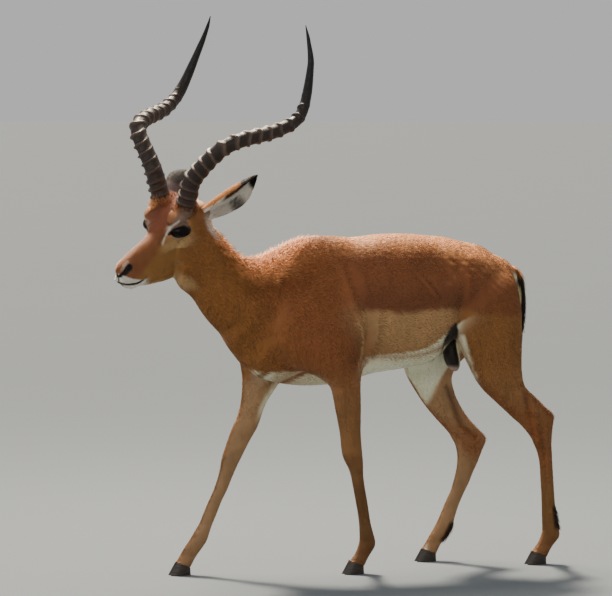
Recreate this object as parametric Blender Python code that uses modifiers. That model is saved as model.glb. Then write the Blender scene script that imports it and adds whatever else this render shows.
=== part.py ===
"""A life-size standing impala ram, as a still museum model.

Metres, +Z up.  The animal faces -X and its left side is -Y.  The body is
drawn as lofts through named sections, closed into one form, then divided by
thin cuts where a person would name its parts.
"""
import math

import bmesh
import bpy
from mathutils import Matrix, Vector

MM = 0.001
GAP = 0.0003                 # space left between parts that meet
RING = 32                    # corners round a body section
BODY_GRAIN = 0.0048          # size of the grid that closes the lofts into one form
BODY_TRIANGLES = 3700        # facets of the whole body before it is divided
ROUNDING = 6                 # passes that soften the joins between lofts

# Trunk, breast to rump: x, top, bottom, half width, level of the widest
# point, fullness of the back, fullness of the belly.
TRUNK = (
    (-292, 690, 545, 36, 610, 2.0, 2.0),
    (-268, 735, 517, 66, 615, 2.0, 2.0),
    (-232, 775, 492, 88, 625, 2.0, 1.9),
    (-185, 806, 477, 103, 635, 1.9, 1.8),
    (-140, 829, 469, 110, 645, 1.8, 1.7),
    (-90, 843, 466, 112, 650, 1.7, 1.7),
    (-40, 846, 468, 118, 655, 1.7, 1.8),
    (14, 841, 478, 124, 655, 1.8, 1.9),
    (67, 846, 491, 129, 655, 1.9, 2.0),
    (120, 848, 498, 132, 655, 2.0, 2.1),
    (170, 847, 504, 131, 660, 2.0, 2.1),
    (216, 842, 514, 126, 670, 2.0, 2.0),
    (244, 840, 528, 122, 682, 2.0, 2.0),
    (268, 836, 556, 119, 695, 2.0, 2.0),
    (294, 830, 600, 115, 710, 2.0, 2.0),
    (345, 814, 616, 105, 710, 2.0, 2.0),
    (395, 794, 622, 88, 705, 2.0, 2.0),
    (430, 777, 630, 70, 700, 2.0, 2.0),
    (449, 760, 648, 52, 697, 2.0, 2.0),
    (461, 744, 664, 27, 700, 2.0, 2.0),
)

# Neck, head end to chest: nape x and z, throat x and z, middle y, half
# width, fullness of the nape, fullness of the throat.
NECK = (
    (-446, 900, -504, 806, -52, 36, 2.0, 2.0),
    (-396, 912, -470, 766, -34, 50, 1.9, 2.0),
    (-350, 868, -445, 724, -25, 54, 1.8, 2.0),
    (-316, 831, -411, 696, -17, 57, 1.7, 2.0),
    (-289, 802, -386, 661, -11, 61, 1.7, 2.0),
    (-261, 790, -360, 630, -6, 69, 1.8, 2.0),
    (-226, 791, -331, 602, -3, 81, 1.9, 2.0),
    (-188, 808, -309, 566, 0, 92, 1.9, 2.0),
    (-140, 828, -272, 520, 0, 92, 1.8, 1.9),
)

# Head, back of the skull to the nose, in its own frame with the nose along
# the first number: forward, top, bottom, half width, level of the widest
# point, fullness above, fullness below.
HEAD = (
    (-26, -28, -96, 34, -60, 2.0, 2.0),
    (-8, -4, -122, 46, -56, 2.2, 2.0),
    (20, 12, -142, 53, -46, 2.4, 2.0),
    (50, 16, -158, 54, -42, 2.5, 2.0),
    (80, 8, -163, 51, -42, 2.4, 2.1),
    (108, -4, -161, 45, -46, 2.2, 2.1),
    (135, -12, -157, 38, -52, 2.1, 2.2),
    (160, -14, -150, 34, -56, 2.1, 2.3),
    (188, -13, -136, 30, -56, 2.1, 2.3),
    (215, -11, -122, 27, -54, 2.2, 2.2),
    (238, -11, -108, 25, -52, 2.3, 2.1),
    (258, -12, -96, 24, -48, 2.3, 2.1),
    (273, -15, -88, 21, -46, 2.3, 2.1),
    (284, -22, -76, 17, -46, 2.2, 2.1),
    (292, -33, -62, 10, -47, 2.0, 2.0),
)
HEAD_AT = (-424.8, -32.4, 951.7)        # where the top of the skull stands
HEAD_TURN = 24.9                        # degrees to the animal's left
HEAD_NOD = 33.4                         # degrees nose down
HEAD_TIP = 10.7                         # degrees left side down

# Each leg from the top down: z, front x, back x, middle y, half width,
# squareness.  The y of a leg is measured away from the middle of the body.
FORE_LEFT = (
    (806, -66, -26, 34, 8, 2.0),
    (772, -124, 0, 50, 22, 2.0),
    (710, -168, 10, 72, 36, 2.1),
    (650, -204, 14, 82, 42, 2.1),
    (600, -214, 20, 85, 43, 2.1),
    (555, -200, 26, 85, 42, 2.1),
    (520, -160, 20, 83, 39, 2.1),
    (495, -104, 14, 80, 36, 2.0),
    (473, -72, 12, 78, 33, 2.0),
    (448, -62, 13, 77, 30, 2.0),
    (420, -56, 14, 76, 27, 2.0),
    (388, -49, 14, 75, 24, 2.0),
    (355, -42, 14, 74, 22, 2.0),
    (325, -38, 16, 73, 22, 2.1),
    (300, -34, 18, 73, 23, 2.2),
    (283, -27, 20, 72, 22, 2.2),
    (268, -19, 21, 72, 19, 2.1),
    (249, -12, 22, 71, 16, 2.0),
    (220, -6, 26, 71, 14, 2.0),
    (190, 0, 32, 70, 13, 2.0),
    (160, 6, 37, 70, 13, 2.0),
    (130, 11, 42, 69, 14, 2.0),
    (105, 13, 48, 69, 17, 2.1),
    (85, 14, 54, 68, 19, 2.2),
    (68, 10, 54, 68, 19, 2.2),
    (50, 2, 43, 68, 17, 2.2),
    (34, -10, 33, 68, 19, 2.3),
    (6, -28, 20, 68, 19, 2.3),
)
FORE_RIGHT = (
    (806, -78, -38, 34, 8, 2.0),
    (772, -136, -10, 50, 22, 2.0),
    (710, -184, -2, 72, 36, 2.1),
    (650, -226, -10, 82, 42, 2.1),
    (600, -250, -30, 85, 43, 2.1),
    (555, -256, -62, 84, 42, 2.1),
    (520, -252, -98, 82, 39, 2.1),
    (495, -247, -124, 80, 36, 2.0),
    (470, -246, -146, 78, 33, 2.0),
    (445, -248, -166, 76, 30, 2.0),
    (418, -252, -184, 75, 28, 2.0),
    (388, -261, -196, 74, 25, 2.0),
    (360, -275, -208, 72, 23, 2.0),
    (332, -286, -226, 71, 22, 2.1),
    (307, -295, -241, 70, 23, 2.2),
    (287, -302, -252, 69, 22, 2.2),
    (264, -307, -264, 68, 19, 2.1),
    (236, -315, -277, 67, 16, 2.0),
    (208, -326, -289, 66, 14, 2.0),
    (180, -340, -304, 65, 13, 2.0),
    (152, -353, -316, 64, 13, 2.0),
    (127, -364, -328, 63, 15, 2.0),
    (106, -377, -337, 62, 18, 2.2),
    (86, -390, -344, 61, 19, 2.2),
    (68, -404, -356, 60, 18, 2.2),
    (50, -415, -370, 60, 17, 2.2),
    (34, -425, -381, 60, 19, 2.3),
    (6, -441, -394, 60, 19, 2.3),
)
HIND_LEFT = (
    (762, 322, 420, 44, 26, 2.0),
    (720, 292, 440, 56, 46, 2.2),
    (670, 272, 449, 61, 57, 2.4),
    (620, 268, 451, 65, 58, 2.4),
    (575, 276, 451, 71, 54, 2.3),
    (540, 287, 449, 76, 49, 2.1),
    (502, 305, 448, 79, 43, 2.0),
    (472, 322, 450, 82, 37, 2.0),
    (450, 339, 461, 82, 33, 1.9),
    (430, 360, 483, 82, 30, 1.8),
    (406, 387, 508, 81, 27, 1.8),
    (391, 404, 527, 81, 25, 1.8),
    (378, 419, 537, 80, 23, 1.9),
    (358, 443, 535, 80, 21, 2.0),
    (339, 461, 532, 79, 20, 2.1),
    (318, 476, 531, 78, 19, 2.1),
    (298, 487, 532, 77, 17, 2.1),
    (278, 494, 534, 76, 15, 2.0),
    (250, 499, 536, 75, 14, 2.0),
    (215, 502, 539, 74, 13, 2.0),
    (177, 505, 542, 73, 13, 2.0),
    (139, 507, 546, 72, 14, 2.0),
    (108, 509, 551, 71, 17, 2.1),
    (86, 510, 556, 71, 19, 2.2),
    (68, 505, 556, 71, 19, 2.2),
    (50, 495, 542, 71, 17, 2.2),
    (34, 483, 530, 71, 19, 2.3),
    (6, 466, 517, 71, 19, 2.3),
)
HIND_RIGHT = (
    (762, 300, 410, 44, 26, 2.0),
    (720, 262, 436, 56, 46, 2.2),
    (670, 228, 446, 61, 57, 2.4),
    (620, 204, 440, 65, 58, 2.4),
    (575, 190, 420, 71, 54, 2.3),
    (540, 184, 385, 76, 49, 2.1),
    (502, 187, 340, 79, 43, 2.0),
    (470, 201, 324, 82, 36, 2.0),
    (438, 220, 329, 82, 32, 1.9),
    (412, 237, 339, 82, 29, 1.8),
    (382, 261, 356, 82, 26, 1.8),
    (352, 289, 379, 82, 24, 1.8),
    (326, 313, 405, 81, 23, 1.9),
    (311, 322, 418, 81, 22, 1.9),
    (297, 330, 415, 80, 21, 2.0),
    (273, 336, 404, 79, 19, 2.1),
    (249, 336, 394, 78, 17, 2.1),
    (223, 331, 381, 77, 15, 2.0),
    (198, 324, 370, 76, 14, 2.0),
    (178, 317, 359, 75, 13, 2.0),
    (153, 304, 346, 74, 13, 2.0),
    (130, 293, 336, 73, 14, 2.0),
    (108, 283, 328, 72, 16, 2.1),
    (86, 272, 320, 72, 19, 2.2),
    (68, 260, 310, 72, 19, 2.2),
    (50, 249, 295, 72, 17, 2.2),
    (34, 239, 284, 72, 19, 2.3),
    (6, 222, 272, 72, 19, 2.3),
)

# Swellings over the lofts: centre, radii.
SWELLINGS = (
    ((70, 0, 810), (110, 46, 33)),
    ((300, 0, 790), (90, 60, 34)),
    ((-252, 0, 560), (42, 46, 44)),
    ((384, 0, 672), (72, 62, 78)),
)
# Swellings of the head in its own frame: forward, out, up, then radii.  Each
# is made on both sides.
HEAD_SWELLINGS = (
    ((92, 26, -27), (40, 33, 24)),          # ring of bone round the eye
    ((80, 37, 2), (38, 24, 18)),            # brow over the eye
    ((48, 33, -4), (36, 29, 25)),           # roof of the skull under the horn
    ((60, 28, -98), (56, 28, 52)),          # cheek
    ((6, 38, -40), (28, 23, 30)),           # root of the ear
    ((266, 10, -30), (16, 10, 13)),         # nostril wing
    ((268, 9, -56), (28, 13, 16)),          # upper lip
    ((246, 6, -83), (34, 14, 14)),          # chin
    ((132, 25, -52), (42, 15, 24)),         # cheek bone before the eye
)

EYE_AT = (100, 49.5, -27.5)                 # in the head frame, forward, out, up
EYE_RADII = (27, 16, 18)
EYE_TURN = 36                           # degrees the front of the eye turns inward
EYE_TIP = -18                           # degrees its front corner dips

# Axis of each horn in the head frame: forward, out, up.
HORN = {
    -1: (
        (55, 37, 2),
        (40, 49, 36),
        (22, 68, 80),
        (-40, 143, 145),
        (-184, 187, 105),
        (-259, 198, 104),
        (-353, 180, 178),
        (-386, 164, 225),
        (-402, 154, 262),
    ),
    1: (
        (54, 37, 2),
        (38, 50, 36),
        (19, 69, 80),
        (-41, 144, 141),
        (-184, 187, 95),
        (-259, 198, 97),
        (-353, 180, 174),
        (-380, 166, 212),
        (-393, 156, 240),
    ),
}

# Ears in the head frame: each starts at the same root and has its own pose.
EAR_ROOT = (10, 44, -32)
# The tip of each ear and the way its cup faces: forward, out, up.
EAR_POSE = {
    -1: ((-128, 122, -6), (0.33, 0.80, -0.48)),
    1: ((-118, 84, -34), (0.50, 0.80, -0.28)),
}
EAR_ROOT_PART = 0.10                    # part of the ear sunk in the head
EAR_WRAP = 1.75                         # how far round the wall reaches, radians
EAR_BOW = 4                             # backward bend of the middle
EAR_SAG = 2                            # how far the middle hangs below the line of its tips
EAR_CORNERS = 7
# Part of its length, half width, depth of the cup, thickness of the wall.
EAR = (
    (0.00, 21, 18, 4.0),
    (0.10, 25, 21, 4.0),
    (0.24, 32, 25, 3.6),
    (0.40, 38, 27, 3.2),
    (0.55, 41, 27, 2.8),
    (0.70, 37, 23, 2.6),
    (0.84, 25, 14, 2.4),
    (0.94, 12, 6, 2.2),
    (1.00, 1.5, 1.0, 1.2),
)


# Tail: middle x and z, half width, half thickness, y.
TAIL = (
    (436, 0, 754, 16, 11),
    (460, 0, 744, 19, 12),
    (474, 0, 722, 19, 11),
    (480, 0, 696, 18, 10),
    (481, 0, 655, 18, 9.5),
    (479, 0, 615, 17, 9),
    (475, 0, 582, 13, 8),
    (470, 0, 556, 5, 4),
)
# Scrotum and sheath: middle x, y, z, half width across, half depth.
SCROTUM = (
    (284, 0, 606, 15, 17),
    (283, 0, 590, 18, 18),
    (283, 0, 566, 22, 20),
    (286, 0, 540, 25, 21),
    (292, 0, 516, 25, 20),
    (299, 0, 499, 16, 13),
    (302, 0, 491, 5, 5),
)
SHEATH = (
    (250, 0, 556, 12, 14),
    (232, 0, 532, 12, 14),
    (216, 0, 520, 10, 12),
    (205, 0, 515, 5, 7),
)

# Horn thickness: part of its length from the base, half thickness.
HORN_GIRTH = (
    (0.00, 24.8),
    (0.10, 23.0),
    (0.25, 20.8),
    (0.45, 19.0),
    (0.58, 17.4),
    (0.66, 15.0),
    (0.74, 12.0),
    (0.86, 8.0),
    (0.95, 4.4),
    (1.00, 0.9),
)
HORN_RIDGES = 19             # raised rings along the horn
RIDGED_PART = 0.66           # how far along the rings reach
RIDGE_RISE = 1.7
PEDICLE = 0.020              # part of the horn's length covered by the head

LEGS = {
    "fore_left": (FORE_LEFT, -1),
    "fore_right": (FORE_RIGHT, 1),
    "hind_left": (HIND_LEFT, -1),
    "hind_right": (HIND_RIGHT, 1),
}

# Hooves: toe x, heel x at the ground, distance out from the middle, side.
FEET = {
    "fore_left": (-31, 22, 68, -1),
    "fore_right": (-444, -391, 60, 1),
    "hind_left": (464, 517, 71, -1),
    "hind_right": (220, 273, 72, 1),
}
# Thin cuts that divide the body: centre, direction across the cut, half sizes.
PLATES = (
    ((-410, -28, 805), (0.75, 0.10, -0.66), 110, 130),
    ((-272, 0, 690), (0.867, 0, -0.498), 150, 170),
    ((-24, -78, 452), (0, 0, 1), 60, 60),
    ((-208, 78, 447), (0, 0, 1), 62, 50),
    ((390, -82, 474), (0, 0, 1), 90, 60),
    ((262, 82, 474), (0, 0, 1), 90, 60),
    ((0, -72, 268), (0, 0, 1), 45, 45),
    ((-284, 69, 270), (0, 0, 1), 50, 45),
    ((512, -77, 303), (0, 0, 1), 60, 45),
    ((366, 79, 262), (0, 0, 1), 60, 45),
    ((31, -69, 112), (0, 0, 1), 40, 40),
    ((-352, 62, 114), (0, 0, 1), 40, 40),
    ((530, -71, 114), (0, 0, 1), 45, 40),
    ((306, 72, 112), (0, 0, 1), 45, 40),
)
# Where the middle of each part lies.
SEEDS = {
    "trunk": (60, 0, 650),
    "neck": (-330, -12, 740),
    "head": (-500, -60, 880),
    "fore_left_upper": (-15, -75, 360),
    "fore_right_upper": (-240, 73, 360),
    "hind_left_upper": (450, -80, 390),
    "hind_right_upper": (310, 80, 370),
    "fore_left_cannon": (15, -70, 190),
    "fore_right_cannon": (-315, 65, 190),
    "hind_left_cannon": (520, -74, 210),
    "hind_right_cannon": (335, 75, 190),
    "fore_left_foot": (20, -68, 65),
    "fore_right_foot": (-385, 60, 65),
    "hind_left_foot": (520, -71, 65),
    "hind_right_foot": (280, 72, 65),
}
# Colour and roughness of each stuff.
COAT = ((0.24, 0.085, 0.03), 0.8)
HORN_STUFF = ((0.045, 0.03, 0.022), 0.55)
EYE_STUFF = ((0.012, 0.007, 0.005), 0.12)
HOOF_STUFF = ((0.02, 0.016, 0.013), 0.45)

CLAW_HALF = 8.4              # half width of one claw
CLEFT = 2.2                  # space between the two claws
CORONET_TOE = 31             # height of the hair line over the toe
CORONET_HEEL = 17            # and over the heel


def blend(table, step):
    """Rows of a table drawn smoothly between its stations."""
    rows = []
    count = len(table)
    lengths = [max(abs(b[0] - a[0]), abs(b[1] - a[1]), abs(b[2] - a[2]))
               for a, b in zip(table, table[1:])]
    for i in range(count - 1):
        before = table[max(i - 1, 0)]
        here = table[i]
        after = table[i + 1]
        beyond = table[min(i + 2, count - 1)]
        span = lengths[i]
        span_before = lengths[max(i - 1, 0)]
        span_after = lengths[min(i + 1, count - 2)]
        pieces = max(1, round(span / step))
        for k in range(pieces):
            t = k / pieces
            row = []
            for a, b, c, d in zip(before, here, after, beyond):
                rise_in = (c - a) / (span + span_before) * span if i else c - b
                rise_out = (d - b) / (span + span_after) * span if i < count - 2 else c - b
                row.append((2 * t**3 - 3 * t**2 + 1) * b + (t**3 - 2 * t**2 + t) * rise_in
                           + (3 * t**2 - 2 * t**3) * c + (t**3 - t**2) * rise_out)
            rows.append(row)
    rows.append(list(table[-1]))
    return rows


def power(value, fullness):
    """Signed power that squares up or sharpens a round section."""
    return math.copysign(abs(value) ** (2.0 / fullness), value)


def skin_rings(rings):
    """Closed mesh through a list of rings of equal corner count."""
    mesh = bmesh.new()
    loops = [[mesh.verts.new(point) for point in ring] for ring in rings]
    for lower, upper in zip(loops, loops[1:]):
        size = len(lower)
        for k in range(size):
            mesh.faces.new((lower[k], lower[(k + 1) % size], upper[(k + 1) % size], upper[k]))
    mesh.faces.new(list(reversed(loops[0])))
    mesh.faces.new(loops[-1])
    bmesh.ops.recalc_face_normals(mesh, faces=mesh.faces)
    return mesh


def upright_rings(table, step, size):
    """Sections that stand across the length: x, top, bottom, half width..."""
    rings = []
    for x, top, bottom, half, level, above, below in blend(table, step):
        ring = []
        for k in range(size):
            turn = 2 * math.pi * k / size
            side = power(math.cos(turn), above if math.sin(turn) > 0 else below) * half
            height = math.sin(turn)
            if height > 0:
                rise = level + power(height, above) * (top - level)
            else:
                rise = level + power(height, below) * (level - bottom)
            ring.append(Vector((x, side, rise)) * MM)
        rings.append(ring)
    return rings


def neck_rings(table, step, size):
    """Sections across the slope of the neck."""
    rings = []
    for nape_x, nape_z, throat_x, throat_z, middle, half, above, below in blend(table, step):
        nape = Vector((nape_x, middle, nape_z))
        throat = Vector((throat_x, middle, throat_z))
        centre = nape * 0.45 + throat * 0.55
        ring = []
        for k in range(size):
            turn = 2 * math.pi * k / size
            lift = math.sin(turn)
            fullness = above if lift > 0 else below
            reach = (nape - centre) if lift > 0 else (centre - throat)
            point = centre + reach * power(lift, fullness)
            point.y += power(math.cos(turn), fullness) * half
            ring.append(point * MM)
        rings.append(ring)
    return rings


def leg_rings(table, side, step, size):
    """Level slices of a leg; side is -1 for the left and 1 for the right."""
    rings = []
    for z, front, back, out, half, fullness in blend(table, step):
        ring = []
        for k in range(size):
            turn = 2 * math.pi * k / size
            x = (front + back) / 2 - power(math.cos(turn), fullness) * (back - front) / 2
            y = side * out + power(math.sin(turn), fullness) * half
            ring.append(Vector((x, y, z)) * MM)
        rings.append(ring)
    return rings


def tube_rings(table, step, size, grow=0.0):
    """Round sections square to a path of x, y, z, half width, half thickness."""
    rows = blend(table, step)
    centres = [Vector(row[:3]) for row in rows]
    rings = []
    for i, row in enumerate(rows):
        ahead = centres[min(i + 1, len(rows) - 1)] - centres[max(i - 1, 0)]
        across = Vector((0.0, 1.0, 0.0))
        over = ahead.cross(across).normalized()
        ring = []
        for k in range(size):
            turn = 2 * math.pi * k / size
            point = centres[i] + across * (math.cos(turn) * (row[3] + grow))
            point += over * (math.sin(turn) * (row[4] + grow))
            ring.append(point * MM)
        rings.append(ring)
    return rings


def longer(table):
    """A hanging part's table reached out by a little more than the gap at both ends."""
    first, last = list(table[0]), list(table[-1])
    for end, inner in ((first, table[1]), (last, table[-2])):
        away = (Vector(end[:3]) - Vector(inner[:3])).normalized() * 0.5
        for k in range(3):
            end[k] += away[k]
    return (tuple(first), *table[1:-1], tuple(last))


def girth(part):
    """Half thickness of a horn at a part of its length."""
    for (a, low), (b, high) in zip(HORN_GIRTH, HORN_GIRTH[1:]):
        if part <= b:
            t = (part - a) / (b - a)
            t = t * t * (3 - 2 * t) * 0.3 + t * 0.7
            return low + (high - low) * t
    return HORN_GIRTH[-1][1]


def horn_path(side, count):
    """Evenly spaced points along a horn's axis, in the model."""
    rows = blend(HORN[side], 6)
    line = [head_point(row[0], row[1], row[2], side) for row in rows]
    along = [0.0]
    for a, b in zip(line, line[1:]):
        along.append(along[-1] + (b - a).length)
    path = []
    k = 0
    for i in range(count):
        want = along[-1] * i / (count - 1)
        while k < len(along) - 2 and along[k + 1] < want:
            k += 1
        t = (want - along[k]) / (along[k + 1] - along[k])
        path.append(line[k].lerp(line[k + 1], t))
    return path


def horn_rings(side, first, last, count, size, grow=0.0):
    """Sections of a horn; with last = 0 the stub of bone under its base."""
    path = horn_path(side, 401)
    if last == 0.0:
        parts = [first * k / 3 for k in range(4)]
    else:
        parts = [first]
        for ridge in range(HORN_RIDGES):
            start = first + (RIDGED_PART - first) * ridge / HORN_RIDGES
            width = (RIDGED_PART - first) / HORN_RIDGES
            parts.append(start + 0.45 * width)
            parts.append(start + 0.95 * width)
        parts += [RIDGED_PART + (last - RIDGED_PART) * k / count for k in range(1, count + 1)]
    rings = []
    along = None
    for number, part in enumerate(parts):
        place = part * 400
        k = min(int(place), 399)
        centre = path[k].lerp(path[k + 1], place - k)
        ahead = (path[min(k + 4, 400)] - path[max(k - 3, 0)]).normalized()
        if along is None:
            along = ahead.orthogonal().normalized()
        along = (along - ahead * along.dot(ahead)).normalized()
        across = ahead.cross(along)
        radius = girth(part) + grow
        if last != 0.0 and part < RIDGED_PART and number % 2 == 1:
            radius += RIDGE_RISE * min(1.0, 3.0 * (RIDGED_PART - part) / RIDGED_PART + 0.25)
        ring = []
        for j in range(size):
            turn = 2 * math.pi * j / size
            ring.append(centre + (along * math.cos(turn) + across * math.sin(turn)) * radius * MM)
        rings.append(ring)
    return rings


def head_frame():
    """Places the head: its forward axis runs along -X before it is turned."""
    face_forward = Matrix.Rotation(math.pi, 4, 'Z')
    tip = Matrix.Rotation(-math.radians(HEAD_TIP), 4, 'X')
    nod = Matrix.Rotation(math.radians(HEAD_NOD), 4, 'Y')
    turn = Matrix.Rotation(math.radians(HEAD_TURN), 4, 'Z')
    return Matrix.Translation(Vector(HEAD_AT) * MM) @ face_forward @ turn @ nod @ tip


def head_point(forward, out, up, side):
    """Point of the head frame in the model; side -1 is the left."""
    return head_frame() @ (Vector((forward, -side * out, up)) * MM)


def ball(centre, radii, turn=None, segments=20, rows=12):
    """An egg-shaped swelling."""
    mesh = bmesh.new()
    bmesh.ops.create_uvsphere(mesh, u_segments=segments, v_segments=rows, radius=1.0)
    place = Matrix.Translation(Vector(centre) * MM)
    if turn is not None:
        place = place @ turn
    bmesh.ops.transform(mesh, matrix=place @ Matrix.Diagonal((*(Vector(radii) * MM), 1.0)),
                        verts=mesh.verts)
    return mesh


def gather(meshes, name):
    """One object out of several meshes."""
    whole = bmesh.new()
    for mesh in meshes:
        piece = bpy.data.meshes.new("piece")
        mesh.to_mesh(piece)
        mesh.free()
        whole.from_mesh(piece)
        bpy.data.meshes.remove(piece)
    data = bpy.data.meshes.new(name)
    whole.to_mesh(data)
    whole.free()
    thing = bpy.data.objects.new(name, data)
    bpy.context.scene.collection.objects.link(thing)
    return thing


def settle(thing):
    """Replace an object's mesh by the result of its modifiers."""
    bpy.context.view_layer.update()
    graph = bpy.context.evaluated_depsgraph_get()
    done = bpy.data.meshes.new_from_object(thing.evaluated_get(graph))
    thing.modifiers.clear()
    thing.data = done


def cut_away(thing, tool, solver='EXACT'):
    """Take a tool's space out of a thing and drop the tool."""
    cut = thing.modifiers.new("cut", 'BOOLEAN')
    cut.operation = 'DIFFERENCE'
    cut.solver = solver
    cut.object = tool
    settle(thing)
    bpy.data.objects.remove(tool)


def body_form():
    """Trunk, neck, head and legs as one closed, softened form."""
    frame = head_frame()
    meshes = [
        skin_rings(upright_rings(TRUNK, 20, RING)),
        skin_rings(neck_rings(NECK, 20, RING)),
    ]
    head_rings = []
    for ring in upright_rings(HEAD, 12, RING):
        head_rings.append([frame @ point for point in ring])
    meshes.append(skin_rings(head_rings))
    for table, side in LEGS.values():
        meshes.append(skin_rings(leg_rings(table, side, 18, 24)))
    for centre, radii in SWELLINGS:
        meshes.append(ball(centre, radii))
    for centre, radii in HEAD_SWELLINGS:
        for side in (-1, 1):
            out = -side * centre[1]
            piece = ball((centre[0], out, centre[2]), radii)
            bmesh.ops.transform(piece, matrix=frame, verts=piece.verts)
            meshes.append(piece)
    meshes.append(skin_rings(tube_rings(SHEATH, 12, 16)))
    for side in (-1, 1):
        meshes.append(skin_rings(horn_rings(side, PEDICLE, 0.0, 12, 20)))
    body = gather(meshes, "body")
    close = body.modifiers.new("close", 'REMESH')
    close.mode = 'VOXEL'
    close.voxel_size = BODY_GRAIN
    soften = body.modifiers.new("soften", 'SMOOTH')
    soften.factor = 0.5
    soften.iterations = ROUNDING
    settle(body)
    return body


def lighten(body, total):
    """Fewer, larger facets."""
    have = len(body.data.polygons) * 2
    thin = body.modifiers.new("thin", 'DECIMATE')
    thin.ratio = total / have
    thin.use_collapse_triangulate = True
    settle(body)


def eye_turn(side):
    """How an eye sits in the head frame."""
    return (Matrix.Rotation(side * math.radians(EYE_TURN), 4, 'Z')
            @ Matrix.Rotation(math.radians(EYE_TIP), 4, 'Y'))


def eye_mesh(side, grow):
    """An eye, or the socket for it when grown by the gap."""
    centre = (EYE_AT[0], -side * EYE_AT[1], EYE_AT[2])
    radii = (EYE_RADII[0] + grow, EYE_RADII[2] + grow, EYE_RADII[1] + grow)
    mesh = ball(centre, radii, eye_turn(side), 14, 7)
    bmesh.ops.transform(mesh, matrix=head_frame(), verts=mesh.verts)
    return mesh


def ear_sections(side):
    """Middle, axis, outward side and cup direction of the ear's sections."""
    root = Vector(EAR_ROOT)
    end = Vector(EAR_POSE[side][0])
    axis = (end - root).normalized()
    opening = Vector(EAR_POSE[side][1])
    opening = (opening - axis * opening.dot(axis)).normalized()
    across = axis.cross(opening)
    return root, end, across, opening


def ear_rings(side, first, grow=0.0):
    """Cupped sections of an ear from a part of its length to the tip."""
    root, end, across, opening = ear_sections(side)
    rings = []
    for part, half, cup, wall in blend(EAR, 6):
        if part < first - 1e-6:
            continue
        centre = root.lerp(end, part) - opening * EAR_BOW * math.sin(math.pi * part)
        centre -= across * side * EAR_SAG * math.sin(math.pi * part)
        ring = []
        for k in range(EAR_CORNERS):
            turn = -1 + 2 * k / (EAR_CORNERS - 1)
            swing = turn * EAR_WRAP
            back = centre + across * (math.sin(swing) * (half + wall + grow))
            back -= opening * ((math.cos(swing) * (cup + wall + grow)) - cup)
            ring.append(back)
        for k in reversed(range(EAR_CORNERS)):
            turn = -1 + 2 * k / (EAR_CORNERS - 1)
            swing = turn * EAR_WRAP * 0.93
            front = centre + across * (math.sin(swing) * (half - grow))
            front -= opening * ((math.cos(swing) * (cup - grow)) - cup)
            ring.append(front)
        rings.append([head_point(p.x, p.y, p.z, side) for p in ring])
    return rings


def claw_mesh(toe, heel, middle, inner):
    """One claw of a hoof: flat sole, sloping wall, level with its fellow."""
    rings = []
    for lift in (0.0, 0.15, 1.0):
        ring = []
        for k in range(12):
            turn = 2 * math.pi * k / 12
            reach = (1 - math.cos(turn)) / 2
            x = toe + (heel - toe) * reach
            width = CLAW_HALF * min(1.0, 0.22 + 1.5 * math.sqrt(reach)) * (1.0 - 0.12 * reach**3)
            out = math.sin(turn)
            y = power(out, 2.6) * width
            if out * inner > 0:
                y *= 0.9
            high = CORONET_HEEL + (CORONET_TOE - CORONET_HEEL) * (heel - x) / (heel - toe)
            top_x = toe + 19 + (heel - 1 - toe - 19) * reach
            high_top = coronet(top_x, toe, heel) - GAP / MM
            bulge = 1.0 - 0.10 * lift if lift else 0.93
            ring.append(Vector((x + (top_x - x) * lift, middle + y * bulge,
                                high_top * lift)) * MM)
        rings.append(ring)
    return skin_rings(rings)


def coronet(x, toe, heel):
    """Height of the plane where the hair meets the hoof."""
    return CORONET_HEEL + (CORONET_TOE - CORONET_HEEL) * (heel - x) / (heel - toe - 19)


def foot_block(toe, heel, out, side):
    """The space below the hair line of one foot."""
    corners = []
    for y in (side * out - 40, side * out + 40):
        front = toe - 60
        back = heel + 60
        corners.append([Vector((front, y, coronet(front, toe, heel))) * MM,
                        Vector((back, y, coronet(back, toe, heel))) * MM,
                        Vector((back, y, -60)) * MM,
                        Vector((front, y, -60)) * MM])
    return skin_rings(corners)


def plate_mesh(centre, normal, half_a, half_b):
    """A sheet as thick as the gap, square to a direction."""
    mesh = bmesh.new()
    bmesh.ops.create_cube(mesh, size=2.0)
    turn = Vector(normal).to_track_quat('Z', 'Y').to_matrix().to_4x4()
    size = Matrix.Diagonal((half_a * MM, half_b * MM, GAP / 2, 1.0))
    bmesh.ops.transform(mesh, matrix=Matrix.Translation(Vector(centre) * MM) @ turn @ size,
                        verts=mesh.verts)
    return mesh


def material(name, colour, roughness):
    """A plain surface in one colour, given as linear red, green and blue."""
    stuff = bpy.data.materials.new(name)
    stuff.use_nodes = True
    shader = stuff.node_tree.nodes["Principled BSDF"]
    shader.inputs["Base Color"].default_value = (*colour, 1.0)
    shader.inputs["Roughness"].default_value = roughness
    shader.inputs["Metallic"].default_value = 0.0
    return stuff


def finish(thing, name, stuff, home, smooth):
    """Name a part, colour it and file it with the rest of the animal."""
    thing.name = name
    thing.data.name = name
    thing.data.materials.clear()
    thing.data.materials.append(material("mat_" + name, *stuff))
    for polygon in thing.data.polygons:
        polygon.use_smooth = smooth
    for collection in list(thing.users_collection):
        collection.objects.unlink(thing)
    home.objects.link(thing)


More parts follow.
